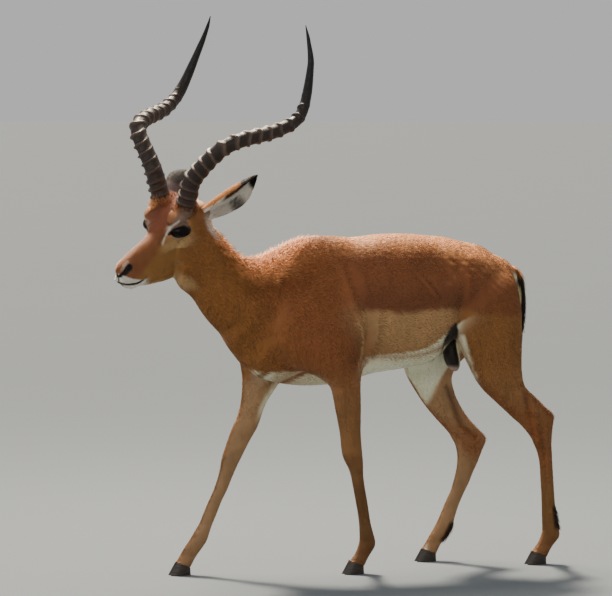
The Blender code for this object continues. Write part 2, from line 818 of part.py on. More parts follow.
def loose_parts(thing):
    """Split an object into one object for each separate piece."""
    mesh = bmesh.new()
    mesh.from_mesh(thing.data)
    bmesh.ops.remove_doubles(mesh, verts=mesh.verts, dist=0.00001)
    mesh.verts.ensure_lookup_table()
    seen = set()
    pieces = []
    for vertex in mesh.verts:
        if vertex in seen:
            continue
        island = {vertex}
        edge_of_search = [vertex]
        while edge_of_search:
            here = edge_of_search.pop()
            for edge in here.link_edges:
                other = edge.other_vert(here)
                if other not in island:
                    island.add(other)
                    edge_of_search.append(other)
        seen |= island
        pieces.append(island)
    things = []
    for island in pieces:
        copy = bmesh.new()
        made = {}
        for vertex in island:
            made[vertex] = copy.verts.new(vertex.co)
        for face in {face for vertex in island for face in vertex.link_faces}:
            copy.faces.new([made[vertex] for vertex in face.verts])
        bmesh.ops.recalc_face_normals(copy, faces=copy.faces)
        data = bpy.data.meshes.new("piece")
        copy.to_mesh(data)
        copy.free()
        things.append(bpy.data.objects.new("piece", data))
    mesh.free()
    bpy.data.objects.remove(thing)
    return things


def stand_on_origin(things):
    """Move the animal so the middle of its box stands over the origin, soles at zero."""
    corners = [vertex.co for thing in things for vertex in thing.data.vertices]
    low = Vector([min(point[k] for point in corners) for k in range(3)])
    high = Vector([max(point[k] for point in corners) for k in range(3)])
    shift = -Vector(((low.x + high.x) / 2, (low.y + high.y) / 2, low.z))
    for thing in things:
        for vertex in thing.data.vertices:
            vertex.co += shift


def main():
    for thing in list(bpy.data.objects):
        bpy.data.objects.remove(thing)
    home = bpy.data.collections.new("impala")
    bpy.context.scene.collection.children.link(home)

    body = body_form()
    lighten(body, BODY_TRIANGLES)

    sockets = [eye_mesh(side, GAP / MM) for side in (-1, 1)]
    cut_away(body, gather(sockets, "sockets"))
    for side in (-1, 1):
        wells = skin_rings(horn_rings(side, PEDICLE, 1.0, 6, 16, RIDGE_RISE + GAP / MM))
        cut_away(body, gather([wells], "horn_well"))
        wells = skin_rings(ear_rings(side, EAR_ROOT_PART, GAP / MM + 0.2))
        cut_away(body, gather([wells], "ear_well"))
    for table in (TAIL, SCROTUM):
        well = skin_rings(tube_rings(longer(table), 24, 12, GAP / MM))
        cut_away(body, gather([well], "tail_well"))
    blocks = [foot_block(*foot) for foot in FEET.values()]
    cut_away(body, gather(blocks, "foot_blocks"))
    plates = [plate_mesh(*plate) for plate in PLATES]
    cut_away(body, gather(plates, "plates"))

    free = dict(SEEDS)
    for piece in sorted(loose_parts(body), key=lambda thing: -len(thing.data.vertices)):
        points = [vertex.co for vertex in piece.data.vertices]
        middle = sum(points, Vector()) / len(points)
        name = min(free, key=lambda key: (Vector(free[key]) * MM - middle).length)
        del free[name]
        finish(piece, name, COAT, home, True)

    for name, table in (("tail", TAIL), ("scrotum", SCROTUM)):
        hanging = gather([skin_rings(tube_rings(table, 24, 12))], name)
        finish(hanging, name, COAT, home, True)
    for side, word in ((-1, "left"), (1, "right")):
        horn = gather([skin_rings(horn_rings(side, PEDICLE + 0.0005, 1.0, 8, 8))], "horn")
        finish(horn, "horn_" + word, HORN_STUFF, home, True)
        ear = gather([skin_rings(ear_rings(side, EAR_ROOT_PART))], "ear")
        finish(ear, "ear_" + word, COAT, home, True)
        eye = gather([eye_mesh(side, 0.0)], "eye")
        finish(eye, "eye_" + word, EYE_STUFF, home, True)
    for name, (toe, heel, out, side) in FEET.items():
        for inner, word in ((1, "inner"), (-1, "outer")):
            middle = side * (out - inner * (CLAW_HALF + CLEFT / 2))
            claw = gather([claw_mesh(toe, heel, middle, -inner * side)], "claw")
            finish(claw, name + "_claw_" + word, HOOF_STUFF, home, False)
    stand_on_origin(list(home.objects))


main()
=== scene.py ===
"""Looks of a life-size standing impala ram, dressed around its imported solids.

The animal faces -X and its left side is -Y.  One skin stands for all the flesh
solids; short tufts of hair lie over it and follow the lie of the coat.
"""

import math

import bmesh
import bpy
import numpy as np
from mathutils import Matrix, Vector


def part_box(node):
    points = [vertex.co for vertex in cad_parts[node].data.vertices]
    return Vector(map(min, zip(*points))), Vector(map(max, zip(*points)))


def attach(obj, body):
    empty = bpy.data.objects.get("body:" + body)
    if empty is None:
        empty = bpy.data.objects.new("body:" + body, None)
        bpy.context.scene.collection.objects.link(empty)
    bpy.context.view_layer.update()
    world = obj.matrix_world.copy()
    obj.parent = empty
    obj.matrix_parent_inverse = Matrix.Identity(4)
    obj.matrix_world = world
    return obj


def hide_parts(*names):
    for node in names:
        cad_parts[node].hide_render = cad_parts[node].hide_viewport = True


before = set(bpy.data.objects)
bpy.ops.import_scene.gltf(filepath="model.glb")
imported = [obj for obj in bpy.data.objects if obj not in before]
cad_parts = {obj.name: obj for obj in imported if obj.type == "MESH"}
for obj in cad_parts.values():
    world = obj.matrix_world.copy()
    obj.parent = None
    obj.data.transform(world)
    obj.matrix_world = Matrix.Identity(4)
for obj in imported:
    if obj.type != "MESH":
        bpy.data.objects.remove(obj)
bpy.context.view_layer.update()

MM = 0.001
RING = 40                    # corners round a body section
SKIN_GRAIN = 0.0020          # size of the grid that closes the lofts into one skin
SKIN_TRIANGLES = 186000
SEED = 7
SKIN_TONE = 0.92             # skin under the hair is a little darker than its tips
ROOT_DEPTH = 0.35            # how far the roots of the locks sink in the skin
LOCK_RISE = 0.26             # height of a lock as a part of its width
TRUNK_SPLIT = 90             # x of the cut between the front and rear coats of the trunk
BAKE_PATCH = 0.003           # size of a lock's patch on its unwrap
FULL_HORN = 0.9995           # part of its length at which a horn's tip closes
HORN_SUNK = 0.012            # part of its length hidden in the hair
FLOOR_RADIUS = 60.0          # metres
FLOOR_CORNERS = 64

# Trunk, breast to rump: x, top, bottom, half width, level of the widest point,
# fullness of the back, fullness of the belly.  All tables are in millimetres.
TRUNK = (
    (-292, 690, 545, 36, 610, 2.0, 2.0),
    (-268, 735, 517, 66, 615, 2.0, 2.0),
    (-232, 775, 492, 88, 625, 2.0, 1.9),
    (-185, 806, 477, 103, 635, 1.9, 1.8),
    (-140, 829, 469, 110, 645, 1.8, 1.7),
    (-90, 843, 466, 112, 650, 1.7, 1.7),
    (-40, 846, 468, 118, 655, 1.7, 1.8),
    (14, 841, 478, 124, 655, 1.8, 1.9),
    (67, 846, 491, 129, 655, 1.9, 2.0),
    (120, 848, 498, 132, 655, 2.0, 2.1),
    (170, 847, 504, 131, 660, 2.0, 2.1),
    (216, 842, 514, 126, 670, 2.0, 2.0),
    (244, 840, 528, 122, 682, 2.0, 2.0),
    (268, 836, 556, 119, 695, 2.0, 2.0),
    (294, 830, 600, 115, 710, 2.0, 2.0),
    (345, 814, 616, 105, 710, 2.0, 2.0),
    (395, 794, 622, 88, 705, 2.0, 2.0),
    (430, 777, 630, 70, 700, 2.0, 2.0),
    (449, 760, 648, 52, 697, 2.0, 2.0),
    (461, 744, 664, 27, 700, 2.0, 2.0),
)

# Neck, head end to chest: nape x and z, throat x and z, middle y, half width,
# fullness of the nape, fullness of the throat.
NECK = (
    (-446, 900, -504, 806, -52, 36, 2.0, 2.0),
    (-396, 912, -470, 766, -34, 50, 1.9, 2.0),
    (-350, 868, -445, 724, -25, 54, 1.8, 2.0),
    (-316, 831, -411, 696, -17, 57, 1.7, 2.0),
    (-289, 802, -386, 661, -11, 61, 1.7, 2.0),
    (-261, 790, -360, 630, -6, 69, 1.8, 2.0),
    (-226, 791, -331, 602, -3, 81, 1.9, 2.0),
    (-188, 808, -309, 566, 0, 92, 1.9, 2.0),
    (-140, 828, -272, 520, 0, 92, 1.8, 1.9),
)

# Head, skull to nose, in its own frame: forward, top, bottom, half width, level of
# the widest point, fullness above, fullness below.
HEAD = (
    (-26, -28, -96, 34, -60, 2.0, 2.0),
    (-8, -4, -122, 46, -56, 2.2, 2.0),
    (20, 12, -142, 53, -46, 2.4, 2.0),
    (50, 16, -158, 54, -42, 2.5, 2.0),
    (80, 8, -163, 51, -42, 2.4, 2.1),
    (108, -4, -161, 45, -46, 2.2, 2.1),
    (135, -12, -157, 38, -52, 2.1, 2.2),
    (160, -14, -150, 34, -56, 2.1, 2.3),
    (188, -13, -136, 30, -56, 2.1, 2.3),
    (215, -11, -122, 27, -54, 2.2, 2.2),
    (238, -11, -108, 25, -52, 2.3, 2.1),
    (258, -12, -96, 24, -48, 2.3, 2.1),
    (273, -15, -88, 21, -46, 2.3, 2.1),
    (284, -22, -76, 17, -46, 2.2, 2.1),
    (292, -33, -62, 10, -47, 2.0, 2.0),
)
HEAD_AT = (-424.8, -32.4, 951.7)        # where the top of the skull stands
HEAD_TURN = 24.9                        # degrees to the animal's left
HEAD_NOD = 33.4                         # degrees nose down
HEAD_TIP = 10.7                         # degrees left side down

# Each leg from the top down: z, front x, back x, middle y, half width, squareness.
FORE_LEFT = (
    (806, -66, -26, 34, 8, 2.0),
    (772, -124, 0, 50, 22, 2.0),
    (710, -168, 10, 72, 36, 2.1),
    (650, -204, 14, 82, 42, 2.1),
    (600, -214, 20, 85, 43, 2.1),
    (555, -200, 26, 85, 42, 2.1),
    (520, -160, 20, 83, 39, 2.1),
    (495, -104, 14, 80, 36, 2.0),
    (473, -72, 12, 78, 33, 2.0),
    (448, -62, 13, 77, 30, 2.0),
    (420, -56, 14, 76, 27, 2.0),
    (388, -49, 14, 75, 24, 2.0),
    (355, -42, 14, 74, 22, 2.0),
    (325, -38, 16, 73, 22, 2.1),
    (300, -34, 18, 73, 23, 2.2),
    (283, -27, 20, 72, 22, 2.2),
    (268, -19, 21, 72, 19, 2.1),
    (249, -12, 22, 71, 16, 2.0),
    (220, -6, 26, 71, 14, 2.0),
    (190, 0, 32, 70, 13, 2.0),
    (160, 6, 37, 70, 13, 2.0),
    (130, 11, 42, 69, 14, 2.0),
    (105, 13, 48, 69, 17, 2.1),
    (85, 14, 54, 68, 19, 2.2),
    (68, 10, 54, 68, 19, 2.2),
    (50, 2, 43, 68, 17, 2.2),
    (34, -10, 33, 68, 19, 2.3),
    (6, -28, 20, 68, 19, 2.3),
)
FORE_RIGHT = (
    (806, -78, -38, 34, 8, 2.0),
    (772, -136, -10, 50, 22, 2.0),
    (710, -184, -2, 72, 36, 2.1),
    (650, -226, -10, 82, 42, 2.1),
    (600, -250, -30, 85, 43, 2.1),
    (555, -256, -62, 84, 42, 2.1),
    (520, -252, -98, 82, 39, 2.1),
    (495, -247, -124, 80, 36, 2.0),
    (470, -246, -146, 78, 33, 2.0),
    (445, -248, -166, 76, 30, 2.0),
    (418, -252, -184, 75, 28, 2.0),
    (388, -261, -196, 74, 25, 2.0),
    (360, -275, -208, 72, 23, 2.0),
    (332, -286, -226, 71, 22, 2.1),
    (307, -295, -241, 70, 23, 2.2),
    (287, -302, -252, 69, 22, 2.2),
    (264, -307, -264, 68, 19, 2.1),
    (236, -315, -277, 67, 16, 2.0),
    (208, -326, -289, 66, 14, 2.0),
    (180, -340, -304, 65, 13, 2.0),
    (152, -353, -316, 64, 13, 2.0),
    (127, -364, -328, 63, 15, 2.0),
    (106, -377, -337, 62, 18, 2.2),
    (86, -390, -344, 61, 19, 2.2),
    (68, -404, -356, 60, 18, 2.2),
    (50, -415, -370, 60, 17, 2.2),
    (34, -425, -381, 60, 19, 2.3),
    (6, -441, -394, 60, 19, 2.3),
)
HIND_LEFT = (
    (762, 322, 420, 44, 26, 2.0),
    (720, 292, 440, 56, 46, 2.2),
    (670, 272, 449, 61, 57, 2.4),
    (620, 268, 451, 65, 58, 2.4),
    (575, 276, 451, 71, 54, 2.3),
    (540, 287, 449, 76, 49, 2.1),
    (502, 305, 448, 79, 43, 2.0),
    (472, 322, 450, 82, 37, 2.0),
    (450, 339, 461, 82, 33, 1.9),
    (430, 360, 483, 82, 30, 1.8),
    (406, 387, 508, 81, 27, 1.8),
    (391, 404, 527, 81, 25, 1.8),
    (378, 419, 537, 80, 23, 1.9),
    (358, 443, 535, 80, 21, 2.0),
    (339, 461, 532, 79, 20, 2.1),
    (318, 476, 531, 78, 19, 2.1),
    (298, 487, 532, 77, 17, 2.1),
    (278, 494, 534, 76, 15, 2.0),
    (250, 499, 536, 75, 14, 2.0),
    (215, 502, 539, 74, 13, 2.0),
    (177, 505, 542, 73, 13, 2.0),
    (139, 507, 546, 72, 14, 2.0),
    (108, 509, 551, 71, 17, 2.1),
    (86, 510, 556, 71, 19, 2.2),
    (68, 505, 556, 71, 19, 2.2),
    (50, 495, 542, 71, 17, 2.2),
    (34, 483, 530, 71, 19, 2.3),
    (6, 466, 517, 71, 19, 2.3),
)
HIND_RIGHT = (
    (762, 300, 410, 44, 26, 2.0),
    (720, 262, 436, 56, 46, 2.2),
    (670, 228, 446, 61, 57, 2.4),
    (620, 204, 440, 65, 58, 2.4),
    (575, 190, 420, 71, 54, 2.3),
    (540, 184, 385, 76, 49, 2.1),
    (502, 187, 340, 79, 43, 2.0),
    (470, 201, 324, 82, 36, 2.0),
    (438, 220, 329, 82, 32, 1.9),
    (412, 237, 339, 82, 29, 1.8),
    (382, 261, 356, 82, 26, 1.8),
    (352, 289, 379, 82, 24, 1.8),
    (326, 313, 405, 81, 23, 1.9),
    (311, 322, 418, 81, 22, 1.9),
    (297, 330, 415, 80, 21, 2.0),
    (273, 336, 404, 79, 19, 2.1),
    (249, 336, 394, 78, 17, 2.1),
    (223, 331, 381, 77, 15, 2.0),
    (198, 324, 370, 76, 14, 2.0),
    (178, 317, 359, 75, 13, 2.0),
    (153, 304, 346, 74, 13, 2.0),
    (130, 293, 336, 73, 14, 2.0),
    (108, 283, 328, 72, 16, 2.1),
    (86, 272, 320, 72, 19, 2.2),
    (68, 260, 310, 72, 19, 2.2),
    (50, 249, 295, 72, 17, 2.2),
    (34, 239, 284, 72, 19, 2.3),
    (6, 222, 272, 72, 19, 2.3),
)
LEGS = {
    "fore_left": (FORE_LEFT, -1),
    "fore_right": (FORE_RIGHT, 1),
    "hind_left": (HIND_LEFT, -1),
    "hind_right": (HIND_RIGHT, 1),
}

# Swellings over the lofts: centre, radii.
SWELLINGS = (
    ((70, 0, 810), (110, 46, 33)),
    ((300, 0, 790), (90, 60, 34)),
    ((-252, 0, 560), (42, 46, 44)),
    ((384, 0, 672), (72, 62, 78)),
)
# Swellings of the head in its own frame, made on both sides: forward, out, up, radii.
HEAD_SWELLINGS = (
    ((92, 26, -27), (40, 33, 24)),          # ring of bone round the eye
    ((80, 37, 2), (38, 24, 18)),            # brow over the eye
    ((48, 33, -4), (36, 29, 25)),           # roof of the skull under the horn
    ((60, 28, -98), (56, 28, 52)),          # cheek
    ((6, 38, -40), (28, 23, 30)),           # root of the ear
    ((266, 10, -30), (16, 10, 13)),         # nostril wing
    ((268, 9, -56), (28, 13, 16)),          # upper lip
    ((246, 6, -83), (34, 14, 14)),          # chin
    ((132, 25, -52), (42, 15, 24)),         # cheek bone before the eye
)

EYE_AT = (100, 49.5, -27.5)  # in the head frame, forward, out, up
EYE_RADII = (27, 16, 18)
EYE_TURN = 36                # degrees the front of the eye turns inward
EYE_TIP = -18                # degrees its front corner dips

# Axis of each horn in the head frame, forward, out, up; below it its thickness:
# part of its length and half thickness.
HORN = {
    -1: (
        (55, 37, 2),
        (40, 49, 36),
        (22, 68, 80),
        (-40, 143, 145),
        (-184, 187, 105),
        (-259, 198, 104),
        (-353, 180, 178),
        (-386, 164, 225),
        (-402, 154, 262),
    ),
    1: (
        (54, 37, 2),
        (38, 50, 36),
        (19, 69, 80),
        (-41, 144, 141),
        (-184, 187, 95),
        (-259, 198, 97),
        (-353, 180, 174),
        (-380, 166, 212),
        (-393, 156, 240),
    ),
}
HORN_GIRTH = (
    (0.00, 24.8),
    (0.10, 23.0),
    (0.25, 20.8),
    (0.45, 19.0),
    (0.58, 17.4),
    (0.66, 15.0),
    (0.74, 12.0),
    (0.86, 8.0),
    (0.95, 4.4),
    (1.00, 0.9),
)
HORN_RIDGES = 16             # raised rings along the horn
RIDGED_PART = 0.66           # how far along the rings reach
PEDICLE = 0.020              # part of the horn's length covered by the head

# Ears: root, then tip and facing of each cup, in the head frame.
EAR_ROOT = (10, 44, -32)
EAR_POSE = {
    -1: ((-128, 122, -6), (0.33, 0.80, -0.48)),
    1: ((-118, 84, -34), (0.50, 0.80, -0.28)),
}
EAR_WRAP = 1.75              # how far round the wall reaches, radians
EAR_BOW = 4                  # backward bend of the middle
EAR_SAG = 2                  # how far the middle hangs below a straight line
# Part of its length, half width, depth of the cup, thickness of the wall.
EAR = (
    (0.00, 21, 18, 4.0),
    (0.10, 25, 21, 4.0),
    (0.24, 32, 25, 3.6),
    (0.40, 38, 27, 3.2),
    (0.55, 41, 27, 2.8),
    (0.70, 37, 23, 2.6),
    (0.84, 25, 14, 2.4),
    (0.94, 12, 6, 2.2),
    (1.00, 1.5, 1.0, 1.2),
)

# Tail, scrotum and sheath: middle x, y, z, half width, half thickness.
TAIL = (
    (436, 0, 754, 16, 11),
    (460, 0, 744, 19, 12),
    (474, 0, 722, 19, 11),
    (480, 0, 696, 18, 10),
    (481, 0, 655, 18, 9.5),
    (479, 0, 615, 17, 9),
    (475, 0, 582, 13, 8),
    (470, 0, 556, 5, 4),
)
SCROTUM = (
    (284, 0, 606, 15, 17),
    (283, 0, 590, 18, 18),
    (283, 0, 566, 22, 20),
    (286, 0, 540, 25, 21),
    (292, 0, 516, 25, 20),
    (299, 0, 499, 16, 13),
    (302, 0, 491, 5, 5),
)
SHEATH = (
    (250, 0, 556, 12, 14),
    (232, 0, 532, 12, 14),
    (216, 0, 520, 10, 12),
    (205, 0, 515, 5, 7),
)

# Hooves: toe x, heel x at the ground, distance out from the middle, side.
FEET = {
    "fore_left": (-31, 22, 68, -1),
    "fore_right": (-444, -391, 60, 1),
    "hind_left": (464, 517, 71, -1),
    "hind_right": (220, 273, 72, 1),
}
CLAW_HALF = 8.4              # half width of one claw
CLEFT = 2.2                  # space between the two claws
CORONET_TOE = 31             # height of the hair line over the toe
CORONET_HEEL = 17            # and over the heel


# ---------------------------------------------------------------- placing

def sole_shift():
    """How far the model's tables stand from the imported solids."""
    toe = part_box("fore_left_claw_outer")[0].x
    low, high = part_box("tail")
    return Vector((toe - FEET["fore_left"][0] * MM, (low.y + high.y) / 2, 0.0))


SHIFT = sole_shift()


def head_frame():
    """Places the head: forward, right, up of the head become model axes."""
    face_forward = Matrix.Rotation(math.pi, 4, 'Z')
    tip = Matrix.Rotation(-math.radians(HEAD_TIP), 4, 'X')
    nod = Matrix.Rotation(math.radians(HEAD_NOD), 4, 'Y')
    turn = Matrix.Rotation(math.radians(HEAD_TURN), 4, 'Z')
    return Matrix.Translation(Vector(HEAD_AT) * MM) @ face_forward @ turn @ nod @ tip


HEAD_PLACE = head_frame()
HEAD_BACK = np.array(HEAD_PLACE.inverted())
HEAD_AXES = np.array(HEAD_PLACE.to_3x3())


def head_point(forward, out, up, side):
    """Point of the head frame in the model; side -1 is the left."""
    return HEAD_PLACE @ (Vector((forward, -side * out, up)) * MM)


def blend(table, step):
    """Rows of a table drawn smoothly between its stations."""
    rows = []
    count = len(table)
    lengths = [max(abs(b[0] - a[0]), abs(b[1] - a[1]), abs(b[2] - a[2]))
               for a, b in zip(table, table[1:])]
    for i in range(count - 1):
        before = table[max(i - 1, 0)]
        here = table[i]
        after = table[i + 1]
        beyond = table[min(i + 2, count - 1)]
        span = lengths[i]
        span_before = lengths[max(i - 1, 0)]
        span_after = lengths[min(i + 1, count - 2)]
        pieces = max(1, round(span / step))
        for k in range(pieces):
            t = k / pieces
            row = []
            for a, b, c, d in zip(before, here, after, beyond):
                rise_in = (c - a) / (span + span_before) * span if i else c - b
                rise_out = (d - b) / (span + span_after) * span if i < count - 2 else c - b
                row.append((2 * t**3 - 3 * t**2 + 1) * b + (t**3 - 2 * t**2 + t) * rise_in
                           + (3 * t**2 - 2 * t**3) * c + (t**3 - t**2) * rise_out)
            rows.append(row)
    rows.append(list(table[-1]))
    return rows


def power(value, fullness):
    """Signed power that squares up or sharpens a round section."""
    return math.copysign(abs(value) ** (2.0 / fullness), value)


# ---------------------------------------------------------------- lofts

def loft(rings):
    """Closed tube bridged through rings of equal corner count."""
    mesh = bmesh.new()
    before = None
    for ring in rings:
        made = bmesh.ops.create_circle(mesh, cap_ends=False, radius=1.0, segments=len(ring))
        corners = made["verts"]
        for corner, point in zip(corners, ring):
            corner.co = point
        edges = list(dict.fromkeys(edge for corner in corners for edge in corner.link_edges))
        if before is None:
            bmesh.ops.contextual_create(mesh, geom=edges)
        else:
            bmesh.ops.bridge_loops(mesh, edges=before + edges)
        before = edges
    bmesh.ops.contextual_create(mesh, geom=before)
    bmesh.ops.recalc_face_normals(mesh, faces=mesh.faces)
    return mesh


def upright_rings(table, step, size):
    """Sections that stand across the length."""
    rings = []
    for x, top, bottom, half, level, above, below in blend(table, step):
        ring = []
        for k in range(size):
            turn = 2 * math.pi * k / size
            height = math.sin(turn)
            fullness = above if height > 0 else below
            reach = top - level if height > 0 else level - bottom
            ring.append(Vector((x, power(math.cos(turn), fullness) * half,
                                level + power(height, fullness) * reach)) * MM)
        rings.append(ring)
    return rings


def neck_rings(table, step, size):
    """Sections across the slope of the neck."""
    rings = []
    for nape_x, nape_z, throat_x, throat_z, middle, half, above, below in blend(table, step):
        nape = Vector((nape_x, middle, nape_z))
        throat = Vector((throat_x, middle, throat_z))
        centre = nape * 0.45 + throat * 0.55
        ring = []
        for k in range(size):
            turn = 2 * math.pi * k / size
            lift = math.sin(turn)
            fullness = above if lift > 0 else below
            reach = (nape - centre) if lift > 0 else (centre - throat)
            point = centre + reach * power(lift, fullness)
            point.y += power(math.cos(turn), fullness) * half
            ring.append(point * MM)
        rings.append(ring)
    return rings


def leg_rings(table, side, step, size):
    """Level slices of a leg; side is -1 for the left and 1 for the right."""
    rings = []
    for z, front, back, out, half, fullness in blend(table, step):
        ring = []
        for k in range(size):
            turn = 2 * math.pi * k / size
            x = (front + back) / 2 - power(math.cos(turn), fullness) * (back - front) / 2
            y = side * out + power(math.sin(turn), fullness) * half
            ring.append(Vector((x, y, z)) * MM)
        rings.append(ring)
    return rings


def tube_rings(table, step, size):
    """Round sections square to a path of x, y, z, half width, half thickness."""
    rows = blend(table, step)
    centres = [Vector(row[:3]) for row in rows]
    rings = []
    for i, row in enumerate(rows):
        ahead = centres[min(i + 1, len(rows) - 1)] - centres[max(i - 1, 0)]
        across = Vector((0.0, 1.0, 0.0))
        over = ahead.cross(across).normalized()
        ring = []
        for k in range(size):
            turn = 2 * math.pi * k / size
            ring.append((centres[i] + across * (math.cos(turn) * row[3])
                         + over * (math.sin(turn) * row[4])) * MM)
        rings.append(ring)
    return rings


def ball(centre, radii, turn=None, segments=28, rows=18):
    """An egg-shaped swelling."""
    mesh = bmesh.new()
    bmesh.ops.create_uvsphere(mesh, u_segments=segments, v_segments=rows, radius=1.0)
    place = Matrix.Translation(Vector(centre) * MM)
    if turn is not None:
        place = place @ turn
    bmesh.ops.transform(mesh, matrix=place @ Matrix.Diagonal((*(Vector(radii) * MM), 1.0)),
                        verts=mesh.verts)
    return mesh


def gather(meshes, name):
    """One object out of several meshes."""
    whole = bmesh.new()
    for mesh in meshes:
        piece = bpy.data.meshes.new("piece")
        mesh.to_mesh(piece)
        mesh.free()
        whole.from_mesh(piece)
        bpy.data.meshes.remove(piece)
    data = bpy.data.meshes.new(name)
    whole.to_mesh(data)
    whole.free()
    thing = bpy.data.objects.new(name, data)
    bpy.context.scene.collection.objects.link(thing)
    return thing


def settle(thing):
    """Replace an object's mesh by the result of its modifiers."""
    bpy.context.view_layer.update()
    graph = bpy.context.evaluated_depsgraph_get()
    done = bpy.data.meshes.new_from_object(thing.evaluated_get(graph))
    thing.modifiers.clear()
    thing.data = done


def points_of(mesh):
    """Vertex places of a mesh as an array."""
    flat = np.empty(len(mesh.vertices) * 3)
    mesh.vertices.foreach_get("co", flat)
    return flat.reshape(-1, 3)


def normals_of(mesh):
    """Vertex normals of a mesh as an array."""
    flat = np.empty(len(mesh.vertices) * 3)
    mesh.vertices.foreach_get("normal", flat)
    return flat.reshape(-1, 3)


def put_points(mesh, places):
    """Write vertex places back."""
    mesh.vertices.foreach_set("co", places.astype(np.float32).ravel())
    mesh.update()


def move_home(thing):
    """Move a piece's points from the tables' frame to where the solids stand."""
    put_points(thing.data, points_of(thing.data) + np.array(SHIFT))


# ---------------------------------------------------------------- where a point lies on the animal

class Section:
    """A loft's stations as arrays, to tell how near its surface a point is."""

    def __init__(self, table, kind, side=0):
        self.rows = np.array(blend(table, 6), dtype=float)
        self.kind = kind
        self.side = side
        if kind == "leg":
            self.rows = self.rows[::-1]

    def read(self, points):
        """Radius, angle and station; radius is 1 on the surface.  Points in millimetres."""
        if self.kind in ("trunk", "head"):
            station = points[:, 0]
            top, bottom, half, level, above, below = self.columns(station)
            up = points[:, 2] - level
            reach = np.where(up > 0, top - level, level - bottom)
            full = np.where(up > 0, above, below)
            a, b = points[:, 1] / half, up / reach
        elif self.kind == "neck":
            station = self.neck_station(points)
            nape_x, nape_z, throat_x, throat_z, middle, half, above, below = self.mix(station)
            dx, dz = nape_x - throat_x, nape_z - throat_z
            length = np.hypot(dx, dz)
            along = ((points[:, 0] - throat_x) * dx + (points[:, 2] - throat_z) * dz) / length
            up = along - 0.45 * length
            reach = np.where(up > 0, 0.55 * length, 0.45 * length)
            full = np.where(up > 0, above, below)
            a, b = (points[:, 1] - middle) / half, up / reach
            station = station * 8.0
        else:
            station = points[:, 2]
            front, back, out, half, full = self.columns(station)
            a = (points[:, 0] - (front + back) / 2) / ((back - front) / 2)
            b = (points[:, 1] - self.side * out) / half
        outside = np.clip(np.abs(station - np.clip(station, *self.ends())), 0, 400) / 40
        radius = (np.abs(a) ** full + np.abs(b) ** full) ** (1 / full) + outside
        return radius, np.arctan2(b, a), station

    def ends(self):
        """First and last station."""
        if self.kind == "neck":
            return 0.0, (len(self.rows) - 1) * 8.0
        return self.rows[0, 0], self.rows[-1, 0]

    def columns(self, station):
        """The other measures of the table at a station."""
        return [np.interp(station, self.rows[:, 0], self.rows[:, k])
                for k in range(1, self.rows.shape[1])]

    def mix(self, station):
        """Every measure of the table at a fractional row."""
        steps = np.arange(len(self.rows))
        return [np.interp(station, steps, self.rows[:, k]) for k in range(self.rows.shape[1])]

    def neck_station(self, points):
        """Fractional row whose slanted section holds the point."""
        best = np.zeros(len(points))
        found = np.full(len(points), False)
        last = None
        for k, row in enumerate(self.rows):
            dx, dz = row[0] - row[2], row[1] - row[3]
            across = (points[:, 0] - row[2]) * dz - (points[:, 2] - row[3]) * dx
            if last is not None:
                turn = (last < 0) & (across >= 0) & ~found | (last >= 0) & (across < 0) & ~found
                share = last / np.where(np.abs(last - across) < 1e-9, 1.0, last - across)
                best = np.where(turn, k - 1 + share, best)
                found |= turn
            last = across
        beyond = (points[:, 0] > np.mean(self.rows[-1, [0, 2]])) & ~found
        return np.where(beyond, len(self.rows) - 1.0, best)


TRUNK_PART = Section(TRUNK, "trunk")
NECK_PART = Section(NECK, "neck")
HEAD_PART = Section(HEAD, "head")
LEG_PARTS = {name: Section(table, "leg", side) for name, (table, side) in LEGS.items()}
TAIL_ROOT = 466              # x from which the tail hangs free
TAIL_AXIS = 478              # x of its middle
POUCH_TOP = 585              # height under which the scrotum hangs free
PARTS = ("trunk", "neck", "head", "fore_left", "fore_right", "hind_left", "hind_right",
         "tail", "scrotum")


def head_places(points):
    """Places in the head frame, millimetres: forward, right, up."""
    local = points * MM @ HEAD_BACK[:3, :3].T + HEAD_BACK[:3, 3]
    return local / MM


def near_path(points, path):
    """Distance to a bent line, and how far along it the nearest point lies."""
    best = np.full(len(points), 1e9)
    along = np.zeros(len(points))
    done = 0.0
    for a, b in zip(path, path[1:]):
        a = np.array(a, dtype=float)
        b = np.array(b, dtype=float)
        step = b - a
        length = np.linalg.norm(step)
        t = np.clip((points - a) @ step / length**2, 0, 1)
        away = np.linalg.norm(points - a - t[:, None] * step, axis=1)
        closer = away < best
        best = np.where(closer, away, best)
        along = np.where(closer, done + t * length, along)
        done += length
    return best, along


def whereabouts(points):
    """For points in millimetres: part number, weight of each part, angle and station."""
    reads = [TRUNK_PART.read(points), NECK_PART.read(points)]
    reads.append(HEAD_PART.read(head_places(points)))
    reads += [LEG_PARTS[name].read(points) for name in PARTS[3:7]]
    for table in (TAIL, SCROTUM):
        away, along = near_path(points, [row[:3] for row in table])
        size = float(np.mean([row[4] for row in table]))
        inner = points[:, 0] < TAIL_ROOT if table is TAIL else points[:, 2] > POUCH_TOP
        radius = away / size * 0.72 + np.where(inner, 1.5, 0.0)
        angle = np.arctan2(points[:, 1], points[:, 0] - TAIL_AXIS)
        reads.append((np.maximum(radius, 0.55), angle, along))
    radius = np.stack([np.abs(read[0] - 1.0) for read in reads])
    number = np.argmin(radius, axis=0)
    weight = np.exp(-np.minimum(radius - radius.min(axis=0), 5.0) * 14.0)
    weight /= weight.sum(axis=0)
    pick = np.arange(len(points))
    angle = np.stack([read[1] for read in reads])[number, pick]
    station = np.stack([read[2] for read in reads])[number, pick]
    return number, weight, angle, station


def unit(vectors):
    """Vectors brought to length one."""
    length = np.linalg.norm(vectors, axis=1)
    return vectors / np.maximum(length, 1e-9)[:, None]


def ramp(value, low, high):
    """0 below low, 1 above high, smooth between; low may be above high."""
    t = np.clip((value - low) / (high - low), 0, 1)
    return t * t * (3 - 2 * t)


